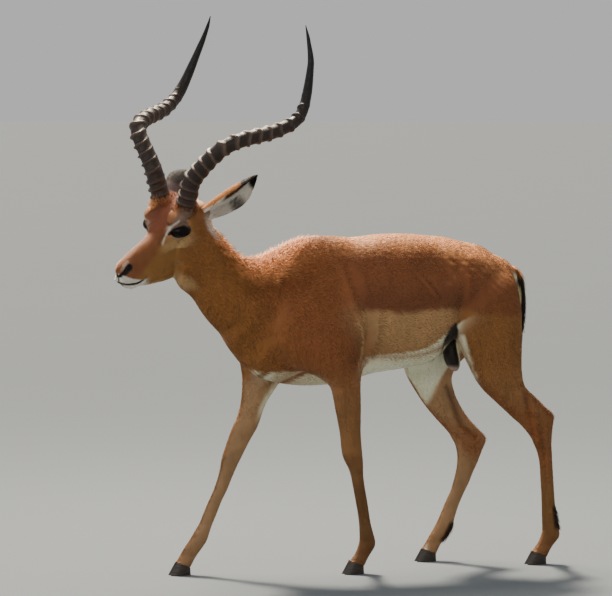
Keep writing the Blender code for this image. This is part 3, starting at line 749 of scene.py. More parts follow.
def drift(points, size, seed):
    """Slow random change over the coat, about -1 to 1."""
    random = np.random.default_rng(seed)
    total = np.zeros(len(points))
    for _ in range(6):
        direction = unit(random.normal(size=(1, 3)))[0]
        wave = direction * 2 * math.pi / (size * random.uniform(0.7, 1.5))
        total += np.sin(points @ wave + random.uniform(0, 6.28))
    return total / 2.4


# ---------------------------------------------------------------- lie of the coat

def leg_lie(points, name):
    """Down the leg, along its own slope."""
    part = LEG_PARTS[name]
    upper = part.columns(points[:, 2] + 8)
    lower = part.columns(points[:, 2] - 8)
    slope = np.stack([(lower[0] + lower[1] - upper[0] - upper[1]) / 2,
                      part.side * (lower[2] - upper[2]), np.full(len(points), -16.0)], axis=1)
    return unit(slope)


def horn_cuff(points, side):
    """Share of the ragged ring of hair round a horn's base, and the way to the horn."""
    path = horn_path(side, 201)
    seat = np.array(path[4]) / MM
    round_horn = ramp(np.linalg.norm(points - seat, axis=1), 42, 33)
    return round_horn, unit(np.array(path[14]) / MM - points)


def lie_of_coat(points, normals, weight):
    """Direction in which the hair points, flat on the skin.  Points in millimetres."""
    x, y, z = points.T
    side = np.sign(y)
    back = ramp(x, 330, 470)
    trunk = np.stack([1.0 - 0.75 * back, 0.15 * side * ramp(z, 760, 820),
                      -0.30 - 1.0 * back - 0.25 * ramp(z, 800, 700) * ramp(x, 60, -120)], axis=1)
    trunk[:, 2] += 0.35 * ramp(z, 560, 500)
    neck = np.stack([0.62 + 0 * x, 0.10 * side, -0.62 - 0.15 * ramp(z, 800, 650)], axis=1)
    local = head_places(points)
    forward, right, up = HEAD_AXES.T
    rise = 0.10 + 0.5 * ramp(local[:, 2], -10, 10) * ramp(local[:, 0], 120, 40)
    head = -forward + up * rise[:, None]
    head = head - up * (0.45 * ramp(local[:, 2], -60, -110) * ramp(local[:, 0], 180, 80))[:, None]
    head = head + right * (0.25 * np.sign(local[:, 1]))[:, None]
    fields = [trunk, neck, head]
    fields += [leg_lie(points, name) for name in PARTS[3:7]]
    down = np.tile(np.array([0.05, 0.0, -1.0]), (len(points), 1))
    fields += [down, down]
    for k in (3, 4):
        high = ramp(z, 560, 720)[:, None]
        fields[k] = fields[k] * (1 - high) + unit(trunk) * high
    for k in (5, 6):
        high = ramp(z, 520, 720)[:, None]
        fields[k] = fields[k] * (1 - high) + unit(trunk) * high
    lie = sum(weight[k][:, None] * unit(field) for k, field in enumerate(fields))
    lie -= normals * np.sum(lie * normals, axis=1)[:, None]
    return unit(lie)


# ---------------------------------------------------------------- relief of the skin

def seen_from_eye(local):
    """Places round an eye: forward, up, outward, in millimetres; both sides alike."""
    turn = (Matrix.Rotation(-math.radians(EYE_TURN), 3, 'Z')
            @ Matrix.Rotation(math.radians(EYE_TIP), 3, 'Y'))
    folded = np.stack([local[:, 0], np.abs(local[:, 1]), local[:, 2]], axis=1)
    around = (folded - np.array((EYE_AT[0], EYE_AT[1], EYE_AT[2]))) @ np.array(turn)
    return around[:, 0], around[:, 2], around[:, 1]


LID_HALF = 25.5              # half length of the opening between the lids
LID_UPPER = 14.0
LID_LOWER = 12.0


def lid_opening(forward, up):
    """Distance inside the almond between the lids, negative outside."""
    along = np.abs(forward - 0.5)
    span = np.clip(1 - (along / LID_HALF) ** 2, 0, 1)
    inside = np.minimum(LID_UPPER * span ** 0.75 - up, up + LID_LOWER * span ** 0.85)
    beyond = along - LID_HALF
    return np.where(beyond > 0, -np.hypot(beyond, up), inside)


# Mouth line and nostril on one side of the head: forward, up.
MOUTH = ((299, -52), (290, -61), (278, -70), (262, -79), (246, -85), (233, -87))
NOSTRIL = ((288, -38), (279, -33), (270, -29), (262, -28))

LIE_PASSES = 40              # evening passes over the run of the hair
CALM_PASSES = 10             # and over the slope of the skin under it
JOIN_PASSES = 420            # smoothing passes over the joins of the body
FACE_PASSES = 60             # and over the swellings of the head

# Hollows and rises of the body: centre, reach, and how far the skin moves out.
# Made on both sides of the body.
RELIEF = (
    ((240, 116, 742), (58, 40, 50), -6.0),      # hollow of the flank before the hip
    ((322, 92, 788), (30, 26, 22), 4.5),        # point of the hip
    ((-100, 108, 700), (34, 30, 84), 3.0),      # shoulder blade
    ((20, 122, 600), (20, 30, 60), -5.0),       # behind the upper arm
    ((-20, 118, 566), (26, 26, 46), 4.0),       # upper arm
    ((-205, 80, 612), (34, 30, 40), 4.0),       # point of the shoulder
    ((300, 128, 560), (24, 26, 40), 3.0),       # stifle
    ((392, 120, 640), (44, 30, 76), 4.0),       # muscle of the thigh
    ((-36, 60, 838), (34, 40, 26), 4.0),        # top of the shoulder blade
    ((252, 104, 568), (20, 60, 34), -16.0),     # fold between flank and thigh
    ((-130, 96, 592), (60, 30, 22), -2.5),      # above the arm
    ((-218, 92, 690), (34, 40, 100), 3.0),      # neck flowing into the shoulder
)
# Ridges and grooves along a bent line: its points, reach, how far the skin moves.
CREASES = (
    (((-46, -92, 789), (-28, -112, 700), (-2, -118, 616), (3, -112, 556)), 10, 0.7),
    (((-24, -98, 780), (-6, -116, 700), (22, -122, 616), (28, -114, 556)), 14, -1.2),
    (((153, -122, 751), (176, -124, 722), (198, -124, 694)), 6, 2.0),
    (((267, -104, 789), (275, -112, 720), (267, -114, 650)), 14, -2.0),
    (((-243, -84, 594), (-156, -104, 619), (-54, -112, 603)), 14, -1.0),
    (((-460, -66, 800), (-400, -62, 720), (-330, -66, 640)), 14, 2.0),
    (((420, -112, 700), (436, -114, 620), (440, -104, 560)), 9, -2.0),
    (((444, -104, 456), (458, -104, 396), (475, -98, 327)), 11, -4.0),
    (((444, -60, 456), (458, -60, 396), (475, -62, 327)), 11, -4.0),
    (((301, 52, 444), (321, 52, 395), (343, 54, 343), (382, 58, 316)), 10, -4.0),
    (((301, 100, 444), (321, 100, 395), (343, 98, 343), (382, 92, 316)), 10, -4.0),
    (((14, -88, 250), (24, -84, 140)), 5, -1.4),
    (((506, -90, 280), (524, -86, 140)), 5, -1.4),
)
CREASES += tuple((tuple((x, -y, z) for x, y, z in points), reach, amount)
                 for points, reach, amount in CREASES[:7])


def relief(points):
    """How far the skin moves out at each point, in millimetres."""
    folded = points.copy()
    folded[:, 1] = np.abs(folded[:, 1])
    move = np.zeros(len(points))
    for centre, reach, amount in RELIEF:
        away = np.sum(((folded - centre) / np.array(reach, dtype=float)) ** 2, axis=1)
        move += amount * np.exp(-away * 1.4)
    for line, reach, amount in CREASES:
        away, _ = near_path(points, line)
        move += amount * np.exp(-(away / reach) ** 2)
    return move


def carve_head(points, normals):
    """Lids, nostrils, mouth and the folds of the face: moves in millimetres."""
    local = head_places(points)
    on_head = HEAD_PART.read(local)[0] < 1.8
    u, out, v = local[:, 0], np.abs(local[:, 1]), local[:, 2]
    push = np.zeros(len(points))
    forward, up, outward = seen_from_eye(local)
    gap = lid_opening(forward, up)
    near = on_head & (outward > 0) & (np.abs(forward) < 36) & (np.abs(up) < 30)
    fold_up = np.abs(gap + 6.0) + 60 * (up < 0) + np.where(np.abs(forward) > 24, 40, 0)
    push -= np.where(near, 1.4 * np.exp(-(fold_up / 1.8) ** 2), 0)
    away, _ = near_path(np.stack([forward, up], axis=1), ((24, -2), (40, -12), (52, -20)))
    push -= np.where(on_head & (outward > -25), 2.2 * np.exp(-(away / 4.0) ** 2), 0)
    folded = np.stack([u, out, v], axis=1)
    away, _ = near_path(np.stack([u, v], axis=1), NOSTRIL)
    push -= np.where(on_head, 6.0 * ramp(away, 6.0, 1.8) * ramp(out, 5, 9), 0)
    push += np.where(on_head, 0.8 * np.exp(-((away - 8.5) / 2.6) ** 2) * (v > -30), 0)
    away, _ = near_path(np.stack([u, v], axis=1), MOUTH)
    push -= np.where(on_head & (u > 222), 3.0 * np.exp(-(away / 2.3) ** 2), 0)
    push += np.where(on_head & (u > 225), 1.3 * np.exp(-((away - 6) / 3.2) ** 2), 0)
    philtrum = np.exp(-(out / 1.8) ** 2) * (u > 276) * (v > -50) * (v < -22)
    push -= np.where(on_head, 2.0 * philtrum, 0)
    jaw, _ = near_path(folded, ((70, 50, -126), (120, 40, -118), (165, 28, -104)))
    push -= np.where(on_head, 2.0 * np.exp(-(jaw / 9.0) ** 2), 0)
    temple = np.sum(((folded - (38, 56, -28)) / np.array((20.0, 16.0, 16.0))) ** 2, axis=1)
    push -= np.where(on_head, 3.0 * np.exp(-temple), 0)
    moved = points + normals * push[:, None]
    inward = ramp(gap, -0.9, 0.9) * 9.0 * near
    axis = HEAD_AXES @ (np.array(Matrix.Rotation(-math.radians(EYE_TURN), 3, 'Z')) @ (0, 1, 0))
    mirror = np.array((1.0, -1.0, 1.0))
    local_axis = HEAD_AXES.T @ axis
    other_axis = HEAD_AXES @ (local_axis * mirror)
    axes = np.where((local[:, 1] > 0)[:, None], axis, other_axis)
    return moved - axes * inward[:, None]


# Depth of the coat on each of PARTS, millimetres.
COAT_DEPTHS = (3.0, 2.6, 1.3, 1.8, 1.8, 2.0, 2.2, 3.0, 1.4)


def coat_depth(points, weight):
    """How deep the skin lies under the tips of the hair, in millimetres."""
    depth = weight.T @ np.array(COAT_DEPTHS)
    z = points[:, 2]
    legs = weight[3:7].sum(axis=0)
    depth -= legs * 0.8 * ramp(z, 440, 300)
    return np.maximum(depth, 0.7)


def join_share(places):
    """Where the body's lofts melt into each other: trunk, neck, shoulders and thighs."""
    x, _, z = places.T
    share = ramp(z, 470, 540) * ramp(x, -450, -400)
    hanging = near_path(places, [row[:3] for row in SCROTUM] + [row[:3] for row in SHEATH])[0]
    share = share * ramp(hanging, 26, 50)
    tail = near_path(places, [row[:3] for row in TAIL])[0]
    return share * ramp(tail, 22, 60)


def face_share(places):
    """Where the swellings of the head melt together: all but the muzzle."""
    local = head_places(places)
    on_head = HEAD_PART.read(local)[0] < 2.4
    return on_head * ramp(local[:, 0], 225, 190) * ramp(places[:, 0], -345, -380)


def skin_form():
    """All the flesh as one closed skin, inside its solids by the depth of the coat."""
    meshes = [
        loft(upright_rings(TRUNK, 12, RING)),
        loft(neck_rings(NECK, 12, RING)),
    ]
    head_rings = []
    for ring in upright_rings(HEAD, 6, RING):
        head_rings.append([HEAD_PLACE @ point for point in ring])
    meshes.append(loft(head_rings))
    for name, (table, side) in LEGS.items():
        toe, heel = FEET[name][:2]
        rings = leg_rings(table, side, 9, 28)
        for ring in rings:
            for point in ring:
                point.z = max(point.z, (coronet(point.x / MM, toe, heel) + 0.6) * MM)
        meshes.append(loft(rings))
    for centre, radii in SWELLINGS:
        meshes.append(ball(centre, radii))
    lid_radii = (EYE_RADII[0] + 3.2, EYE_RADII[2] + 3.2, EYE_RADII[1] + 3.2)
    for side in (-1, 1):
        swellings = [(c, r, None) for c, r in HEAD_SWELLINGS]
        swellings.append((EYE_AT, lid_radii, eye_turn(side)))
        for centre, radii, turn in swellings:
            piece = ball((centre[0], -side * centre[1], centre[2]), radii, turn)
            bmesh.ops.transform(piece, matrix=HEAD_PLACE, verts=piece.verts)
            meshes.append(piece)
        meshes.append(loft(horn_stub(side)))
    meshes.append(loft(tube_rings(TAIL, 8, 20)))
    meshes.append(loft(tube_rings(SCROTUM, 8, 24)))
    meshes.append(loft(tube_rings(SHEATH, 8, 20)))
    skin = gather(meshes, "skin")
    close = skin.modifiers.new("close", 'REMESH')
    close.mode = 'VOXEL'
    close.voxel_size = SKIN_GRAIN
    soften = skin.modifiers.new("soften", 'SMOOTH')
    soften.factor = 0.5
    soften.iterations = 14
    settle(skin)
    places = points_of(skin.data) / MM
    weight = whereabouts(places)[1]
    for passes, share in ((JOIN_PASSES, join_share(places)), (FACE_PASSES, face_share(places))):
        group = skin.vertex_groups.new(name="soft")
        levels = np.round(share * 8).astype(int)
        for level in range(1, 9):
            chosen = np.nonzero(levels == level)[0].tolist()
            group.add(chosen, level / 8, 'REPLACE')
        melt = skin.modifiers.new("melt", 'SMOOTH')
        melt.factor = 0.5
        melt.iterations = passes
        melt.vertex_group = group.name
        settle(skin)
        skin.vertex_groups.clear()
    places = points_of(skin.data) / MM
    normals = normals_of(skin.data)
    places += normals * (relief(places) - coat_depth(places, weight))[:, None]
    places = carve_head(places, normals)
    put_points(skin.data, places * MM)
    thin = skin.modifiers.new("thin", 'DECIMATE')
    thin.ratio = SKIN_TRIANGLES / (len(skin.data.polygons) * 2)
    thin.use_collapse_triangulate = True
    settle(skin)
    return skin


def eye_turn(side):
    """How an eye sits in the head frame."""
    return (Matrix.Rotation(side * math.radians(EYE_TURN), 4, 'Z')
            @ Matrix.Rotation(math.radians(EYE_TIP), 4, 'Y'))


def coronet(x, toe, heel):
    """Height of the plane where the hair meets the hoof."""
    return CORONET_HEEL + (CORONET_TOE - CORONET_HEEL) * (heel - x) / (heel - toe - 19)


# ---------------------------------------------------------------- ears

EAR_RING = 15                # corners across one face of an ear
EAR_TRIM = 0.7               # how far the ear's skin lies inside its solid


def ear_axes(side):
    """Root, tip, across and opening directions of an ear in the head frame."""
    root = Vector(EAR_ROOT)
    end = Vector(EAR_POSE[side][0])
    axis = (end - root).normalized()
    opening = Vector(EAR_POSE[side][1])
    opening = (opening - axis * opening.dot(axis)).normalized()
    return root, end, axis.cross(opening), opening


def ear_rings(side):
    """Cupped sections of an ear from its root to the tip."""
    root, end, across, opening = ear_axes(side)
    rings = []
    for part, half, cup, wall in blend(EAR, 2):
        centre = root.lerp(end, part) - opening * EAR_BOW * math.sin(math.pi * part)
        centre -= across * side * EAR_SAG * math.sin(math.pi * part)
        ring = []
        for face, trim in ((1, wall - EAR_TRIM), (-1, EAR_TRIM)):
            for k in range(EAR_RING):
                turn = face * (-1 + 2 * k / (EAR_RING - 1))
                swing = turn * EAR_WRAP * (1.0 if face > 0 else 0.94)
                edge = 1.0 - 0.35 * abs(turn) ** 6
                point = centre + across * (math.sin(swing) * (half + trim * edge))
                point -= opening * (math.cos(swing) * (cup + trim * edge) - cup)
                ring.append(head_point(point.x, point.y, point.z, side))
        rings.append(ring)
    return rings


def ear_places(points, side):
    """Part along the ear, and place across it from -1 to 1."""
    root, end, across, _ = ear_axes(side)
    local = head_places(points)
    local[:, 1] *= -side
    from_root = local - np.array(root)
    axis = np.array(end - root)
    part = from_root @ axis / (axis @ axis)
    half = np.interp(part, [row[0] for row in EAR], [row[1] for row in EAR])
    shift = EAR_SAG * np.sin(np.pi * np.clip(part, 0, 1))
    lower = -(from_root @ np.array(across)) * side
    return part, (lower - shift) / np.maximum(half, 3.0)


# ---------------------------------------------------------------- horns, hooves, eyes

def girth(part):
    """Half thickness of a horn at a part of its length."""
    for (a, low), (b, high) in zip(HORN_GIRTH, HORN_GIRTH[1:]):
        if part <= b:
            t = (part - a) / (b - a)
            t = t * t * (3 - 2 * t) * 0.3 + t * 0.7
            return low + (high - low) * t
    return HORN_GIRTH[-1][1]


def horn_path(side, count):
    """Evenly spaced points along a horn's axis."""
    line = [head_point(row[0], row[1], row[2], side) for row in blend(HORN[side], 3)]
    along = [0.0]
    for a, b in zip(line, line[1:]):
        along.append(along[-1] + (b - a).length)
    path = []
    k = 0
    for i in range(count):
        want = along[-1] * i / (count - 1)
        while k < len(along) - 2 and along[k + 1] < want:
            k += 1
        t = (want - along[k]) / (along[k + 1] - along[k])
        path.append(line[k].lerp(line[k + 1], t))
    return path


def horn_stub(side):
    """Sections of the bony stub that carries a horn."""
    path = horn_path(side, 401)
    rings = []
    for k in range(4):
        place = round(PEDICLE * 400 * k / 3)
        ahead = (path[place + 4] - path[max(place - 3, 0)]).normalized()
        along = ahead.orthogonal().normalized()
        across = ahead.cross(along)
        reach = girth(PEDICLE * k / 3) * MM
        rings.append([path[place] + (along * math.cos(turn) + across * math.sin(turn)) * reach
                      for turn in (2 * math.pi * j / 24 for j in range(24))])
    return rings


HORN_STEPS = 360             # sections along a horn
HORN_CORNERS = 36
RIDGE_HEIGHT = 6.4           # millimetres, at the front of the horn near its base


def horn_mesh(side):
    """A horn with its raised rings; the height of the rings and the part at each corner."""
    path = horn_path(side, 801)
    ridged = RIDGED_PART + (0.06 if side < 0 else 0.0)
    start = PEDICLE - HORN_SUNK
    rings = []
    crests = []
    parts = []
    along = None
    front = HEAD_AXES @ np.array((0.92, 0.0, 0.4))
    for step in range(HORN_STEPS + 1):
        part = start + (FULL_HORN - start) * step / HORN_STEPS
        parts += [part] * HORN_CORNERS
        place = part * 800
        k = min(int(place), 799)
        centre = path[k].lerp(path[k + 1], place - k)
        ahead = (path[min(k + 6, 800)] - path[max(k - 5, 0)]).normalized()
        if along is None:
            along = ahead.orthogonal().normalized()
        along = (along - ahead * along.dot(ahead)).normalized()
        across = ahead.cross(along)
        ring = []
        for j in range(HORN_CORNERS):
            turn = 2 * math.pi * j / HORN_CORNERS
            outward = along * math.cos(turn) + across * math.sin(turn)
            facing = outward.dot(Vector(front))
            count = max((part - PEDICLE) / (ridged - PEDICLE), 0.0) ** 0.85 * HORN_RIDGES
            count += (0.22 * facing + 0.10 * math.sin(2 * turn + side)
                      + 0.07 * math.sin(turn * 3 + step * 0.02))
            phase = count - math.floor(count)
            crest = math.exp(-((phase - 0.62) / (0.17 if phase < 0.62 else 0.09)) ** 2)
            fade = min(1.0, max(0.0, (ridged + 0.03 - part) * 9))
            fade *= min(1.0, max(0.0, (part - PEDICLE) * 30 + 0.4))
            strong = 0.55 + 0.45 * facing
            rise = RIDGE_HEIGHT * fade * strong * (crest - 0.45)
            flutes = 0.18 * math.sin(turn * 11 + part * 30) * (part < 0.7)
            ring.append(centre + outward * (girth(part) + rise + flutes) * MM)
            crests.append(crest * fade * (0.35 + 0.65 * strong))
        rings.append(ring)
    return loft(rings), crests, parts


def claw_mesh(toe, heel, middle, inner):
    """One claw of a hoof: flat sole, sloping wall, growth rings, level with its fellow."""
    rings = []
    for lift in (0.0, 0.03, 0.08, 0.2, 0.35, 0.5, 0.65, 0.8, 0.92, 0.985, 1.0):
        ring = []
        for k in range(32):
            turn = 2 * math.pi * k / 32
            reach = (1 - math.cos(turn)) / 2
            x = toe + (heel - toe) * reach
            width = CLAW_HALF * min(1.0, 0.22 + 1.5 * math.sqrt(reach)) * (1.0 - 0.12 * reach**3)
            out = math.sin(turn)
            y = power(out, 2.6) * width
            if out * inner > 0:
                y *= 0.9
            top_x = toe + 19 + (heel - 1 - toe - 19) * reach
            high_top = coronet(top_x, toe, heel) + 1.2
            bulge = 1.0 - 0.10 * lift - 0.04 * (lift < 0.02) + 0.012 * math.cos(lift * 40)
            ring.append(Vector((x + (top_x - x) * lift, middle + y * bulge, high_top * lift)) * MM)
        rings.append(ring)
    return loft(rings)


# ---------------------------------------------------------------- markings

def paint(word):
    """Linear red, green and blue of a colour written as six hex figures."""
    parts = [int(word[k:k + 2], 16) / 255 for k in (0, 2, 4)]
    return np.array([p / 12.92 if p <= 0.04045 else ((p + 0.055) / 1.055) ** 2.4 for p in parts])


SADDLE = paint("844C29")
SHOULDER = paint("93572E")
FLANK = paint("B0875A")
THIGH = paint("916030")
# Orange of the coat's top, brightened into a painted highlight where the sun catches the back,
# nape and withers.
BACK_TOP_AND_HIGHLIGHT = paint("F0A366")
NECK_COAT = paint("96602D")
LEG_COAT = paint("976A3E")
SHANK = paint("8C6238")
CREAM = paint("FDF7D4")
WHITE_HAIR = paint("F1ECDF")
THROAT = paint("D2AC78")
FACE = paint("8C5531")
CHEEK = paint("9C6D37")
FOREHEAD = paint("90523A")
BROW = paint("8F5F4C")
EAR_BACK = paint("BC7C42")
EAR_INSIDE = paint("F0E6D8")
BLACK_HAIR = paint("100C0B")
DARK_SKIN = paint("110E0E")
INNER_LEG = paint("B48F68")
RUST = paint("C47E3E")
# Painted shade and sheen: a grey copy of the ear's orange back, used on the far ear.
EAR_BACK_SHADE_SHEEN = paint("5C4A4C")
BROW_GREY = paint("AEA297")
SCROTUM_SKIN = paint("1D1411")
PALE_SKIN = paint("A38E80")
HORN_BROWN = paint("2B1F19")
HORN_BASE = paint("402C22")
# Paler crests of the horn rings: wear, brightened as a painted highlight on the front-facing
# crests.
HORN_WEAR_AND_HIGHLIGHT = paint("8A7060")
HORN_TIP = paint("141213")


def lay(colour, over, amount):
    """Mix another colour over the coat by an amount from 0 to 1."""
    amount = np.clip(amount, 0, 1)[:, None]
    return colour * (1 - amount) + over * amount


def spot(points, centre, reach, hard=2.0):
    """1 inside an egg-shaped patch, falling to 0 at its edge."""
    offset = (points - np.array(centre)) / np.array(reach, dtype=float)
    away = np.sqrt(np.sum(offset ** 2, axis=1))
    return np.clip((1 - away) * hard + 0.5, 0, 1)


def groin_shadow(points):
    """Painted shadow: black standing for the shaded gap between the fold of the flank and the
    thigh, from 0 to 1.
    """
    x, _, z = points.T
    front = np.interp(z, (500, 522, 530, 593, 612, 626), (256, 238, 236, 231, 240, 252))
    rear = np.interp(z, (500, 528, 566, 604, 626), (276, 284, 279, 270, 256))
    across = ramp(x, front - 2, front + 3) * ramp(x, rear + 3, rear - 2)
    return across * ramp(z, 496, 506) * ramp(z, 628, 620)


def ruffle(points):
    """Where the hair of the nape and withers stands up in locks, from 0 to 1."""
    x, _, z = points.T
    edge = np.interp(x, (-372, -301, -244, -197, -158, -120, -60),
                     (848, 776, 752, 740, 792, 822, 835))
    edge = edge + 7 * drift(points, 24, 13)
    return ramp(z, edge - 6, edge + 8) * ramp(x, -60, -110) * ramp(x, -400, -350)


def fetlock_tuft(points, normals, name):
    """Where the black tuft grows over the heel side of a hind shank, from 0 to 1."""
    if name.startswith("fore"):
        return np.zeros(len(points))
    z = points[:, 2]
    low, high = (97, 150) if name == "hind_left" else (58, 102)
    rear = ramp(normals[:, 0], 0.0, 0.35)
    return rear * ramp(z, low - 5, low + 3) * ramp(z, high + 5, high - 5)


# Hollow before the great tendon of each hind leg, where the coat lies in shade: x, z.
LEG_GROOVES = {
    "hind_left": ((444, 442), (456, 406), (470, 365), (489, 326), (501, 300)),
    "hind_right": ((301, 444), (321, 395), (343, 343), (382, 316)),
}

# Painted highlight down the rear edge of the elbow fold: x, z.
ELBOW_HIGHLIGHT = ((-14, 634), (-2, 621), (5, 589), (4, 559), (-6, 526))


def body_colour(points, normals, weight):
    """Markings of trunk, neck and legs, with painted highlights along the top and painted shade
    about the elbow, the fore shanks and the groin.
    """
    x, y, z = points.T
    side = np.abs(y)
    waver = drift(points, 60, 11)
    fine = drift(points, 17, 12)
    # Lower border of the dark saddle: x, height.
    border = np.interp(x, (-60, -20, 0, 98, 232, 300, 380, 470),
                       (600, 640, 664, 656, 663, 652, 640, 640))
    low = ramp(z + waver * 2 + fine * 1.5, border + 8, border - 10)
    trunk = np.tile(SADDLE, (len(points), 1))
    # Orange along the top line of the back, carrying a painted highlight.
    trunk = lay(trunk, BACK_TOP_AND_HIGHLIGHT, 0.8 * ramp(z + 6 * fine, 784, 836) * ramp(x, 330, 240))
    # Painted highlight: coat facing upward over the hindquarters turns to the highlight colour.
    upward = ramp(normals[:, 2] + 0.1 * fine, 0.30, 0.75)
    trunk = lay(trunk, BACK_TOP_AND_HIGHLIGHT, 0.8 * upward * ramp(x, 200, 260))
    forehand = np.tile(NECK_COAT, (len(points), 1))
    forehand = lay(forehand, SHOULDER, ramp(x + 0.35 * (z - 700) + 8 * waver, -330, -180))
    trunk = lay(trunk, forehand, ramp(x, 0, -110))
    trunk = trunk * (1 - 0.26 * ramp(z, border + 90, border + 20) * ramp(x, -60, 0))[:, None]
    trunk = lay(trunk, FLANK, low * ramp(x, -40, 5) * ramp(x, 300, 235))
    trunk = lay(trunk, THIGH, low * ramp(x, 235, 300) * 0.9)
    # Upper border of the white belly: x, height.
    belly = np.interp(x, (-60, 2, 18, 55, 108, 162, 202, 224, 300),
                      (470, 528, 545, 551, 552, 558, 574, 594, 640))
    under = ramp(z + fine * 1.2, belly + 3, belly - 3) * ramp(x, -30, 0)
    trunk = lay(trunk, CREAM, under)
    # White under the chest, broken by two brown folds.
    chest = ramp(z + fine * 1.5, 516, 507) * ramp(x, -30, -60) * ramp(x, -296, -286)
    folds = np.minimum(np.abs(x + 238 - (z - 500) * 1.1), np.abs(x + 146 - (z - 500) * 1.6))
    chest *= ramp(folds, 6, 14) * ramp(side, 112, 98)
    trunk = lay(trunk, CREAM, chest)
    # Painted highlight over the standing locks of the withers.
    trunk = lay(trunk, BACK_TOP_AND_HIGHLIGHT, 0.85 * ruffle(points))

    neck = forehand
    # Line of the nape: x, height.
    nape = np.interp(x, (-446, -380, -300, -250, -200), (900, 850, 790, 776, 790))
    # Painted highlight along the upward-facing coat of the nape and its standing locks.
    top = ramp(normals[:, 2] + 0.1 * fine, 0.25, 0.7) * ramp(z, nape - 62, nape - 26)
    neck = lay(neck, BACK_TOP_AND_HIGHLIGHT, 0.85 * np.maximum(top, ruffle(points)))
    neck = lay(neck, THROAT, 0.6 * spot(points, (-449, -50, 735), (28, 74, 20), 1.3))
    neck = lay(neck, THROAT, 0.8 * ramp(normals[:, 2], -0.35, -0.7) * ramp(z, 710, 740))

    colours = [trunk, neck]
    for k, name in enumerate(PARTS[3:7]):
        hind = k > 1
        away = normals[:, 1] * LEG_PARTS[name].side
        leg = np.tile(THIGH, (len(points), 1)) if hind else forehand
        leg = lay(leg, SADDLE, 0.9 * ramp(z, border - 8, border + 8) if hind else 0 * z)
        leg = lay(leg, LEG_COAT, ramp(z, 560, 400))
        # The fore shanks take the shank colour darkened to 0.72: painted shade.
        leg = lay(leg, SHANK if hind else SHANK * 0.72, ramp(z, 330, 200))
        if hind:
            # White inside the thigh, and a strip down its front edge.
            white = np.interp(z, (400, 446, 497, 540), (246, 262, 292, 330))
            inner = ramp(away + 0.08 * fine, -0.15, -0.45) * ramp(x, white + 9, white - 7)
            strip = ramp(normals[:, 0] + 0.06 * fine, -0.68, -0.88) * ramp(z, 450, 490)
            strip = strip * ramp(away, 0.7, 0.4)
            strip = strip * ramp(z, 612, 590)
            leg = lay(leg, INNER_LEG, 0.8 * ramp(away + 0.1 * fine, -0.15, -0.6))
            leg = lay(leg, CREAM, np.maximum(inner, strip))
        else:
            inside = ramp(away + 0.1 * fine, -0.15, -0.7)
            leg = lay(leg, INNER_LEG, 0.8 * inside * ramp(z, 490, 470))
            pale = ramp(normals[:, 0], 0.15, 0.5) * ramp(away, 0.3, -0.1) * ramp(z, 370, 420)
            leg = lay(leg, CREAM, 0.85 * pale * ramp(z, 500, 480))
        if hind:
            hollow = near_path(points[:, ::2], LEG_GROOVES[name])[0]
            deep = 0.7 if name == "hind_left" else 0.6
            leg = leg * (1 - deep * np.exp(-(hollow / 8.0) ** 2))[:, None]
        tuft = fetlock_tuft(points, normals, name)
        leg = lay(leg, BLACK_HAIR, tuft)
        leg = lay(leg, FACE * 0.75, 0.35 * ramp(z, 110, 40))
        colours.append(leg)
    tail = np.tile(CREAM, (len(points), 1))
    tail = lay(tail, BLACK_HAIR, np.maximum(ramp(normals[:, 0], -0.95, -0.85), ramp(side, 6, 11)))
    # The top of the tail's root takes the back's orange with its painted highlight.
    tail = lay(tail, BACK_TOP_AND_HIGHLIGHT, ramp(z, 728, 742))
    scrotum = np.tile(SCROTUM_SKIN, (len(points), 1))
    scrotum = lay(scrotum, BLACK_HAIR, ramp(z, 560, 590))
    scrotum = lay(scrotum, PALE_SKIN, ramp(z, 512, 498))
    colours += [tail, scrotum]
    parts = [weight[0], weight[1]] + [weight[k] for k in range(3, 9)]
    colour = sum(part[:, None] * shade for part, shade in zip(parts, colours))
    # Painted shadow: black laid in the gap before the near thigh.
    colour = lay(colour, BLACK_HAIR, groin_shadow(points) * ramp(y, 0, -20))
    flat = points[:, ::2]
    outer = ramp(side, 70, 90) * ramp(z, 500, 515)
    # Painted highlight on the upper arm above the elbow fold.
    colour = lay(colour, FLANK, 0.35 * outer * spot(flat, (-24, 642), (34, 32), 1.0))
    # Painted shade in front of and behind the elbow fold.
    colour = colour * (1 - 0.22 * outer * spot(flat, (-30, 572), (30, 54), 1.0))[:, None]
    colour = colour * (1 - 0.2 * outer * spot(flat, (24, 594), (26, 66), 1.0))[:, None]
    # Painted highlight along the rear edge of the elbow fold.
    line, _ = near_path(flat, ELBOW_HIGHLIGHT)
    colour = lay(colour, THROAT, 0.55 * outer * ramp(line + 0.4 * fine, 3.6, 1.4))
    pouch, _ = near_path(points, [row[:3] for row in SCROTUM])
    colour = lay(colour, scrotum, ramp(pouch, 34, 27) * ramp(side, 40, 34))
    hang, _ = near_path(points, [row[:3] for row in TAIL])
    colour = lay(colour, tail, ramp(hang, 26, 21) * ramp(z, 738, 728) * ramp(x, 452, 462))

    # White rump with a black stripe down each side of the tail.
    rump = ramp(normals[:, 0], 0.45, 0.75) * (1 - weight[7])
    colour = lay(colour, CREAM, rump * ramp(side, 58, 50) * ramp(z, 480, 560) * ramp(z, 752, 738))
    stripe = np.exp(-((side - 37 + 3 * waver) / 10.0) ** 4) * ramp(normals[:, 0], 0.25, 0.5)
    stripe = stripe * ramp(z, 545, 580)
    colour = lay(colour, BLACK_HAIR, stripe * ramp(z, 738, 724) * (1 - weight[7]))
    return colour


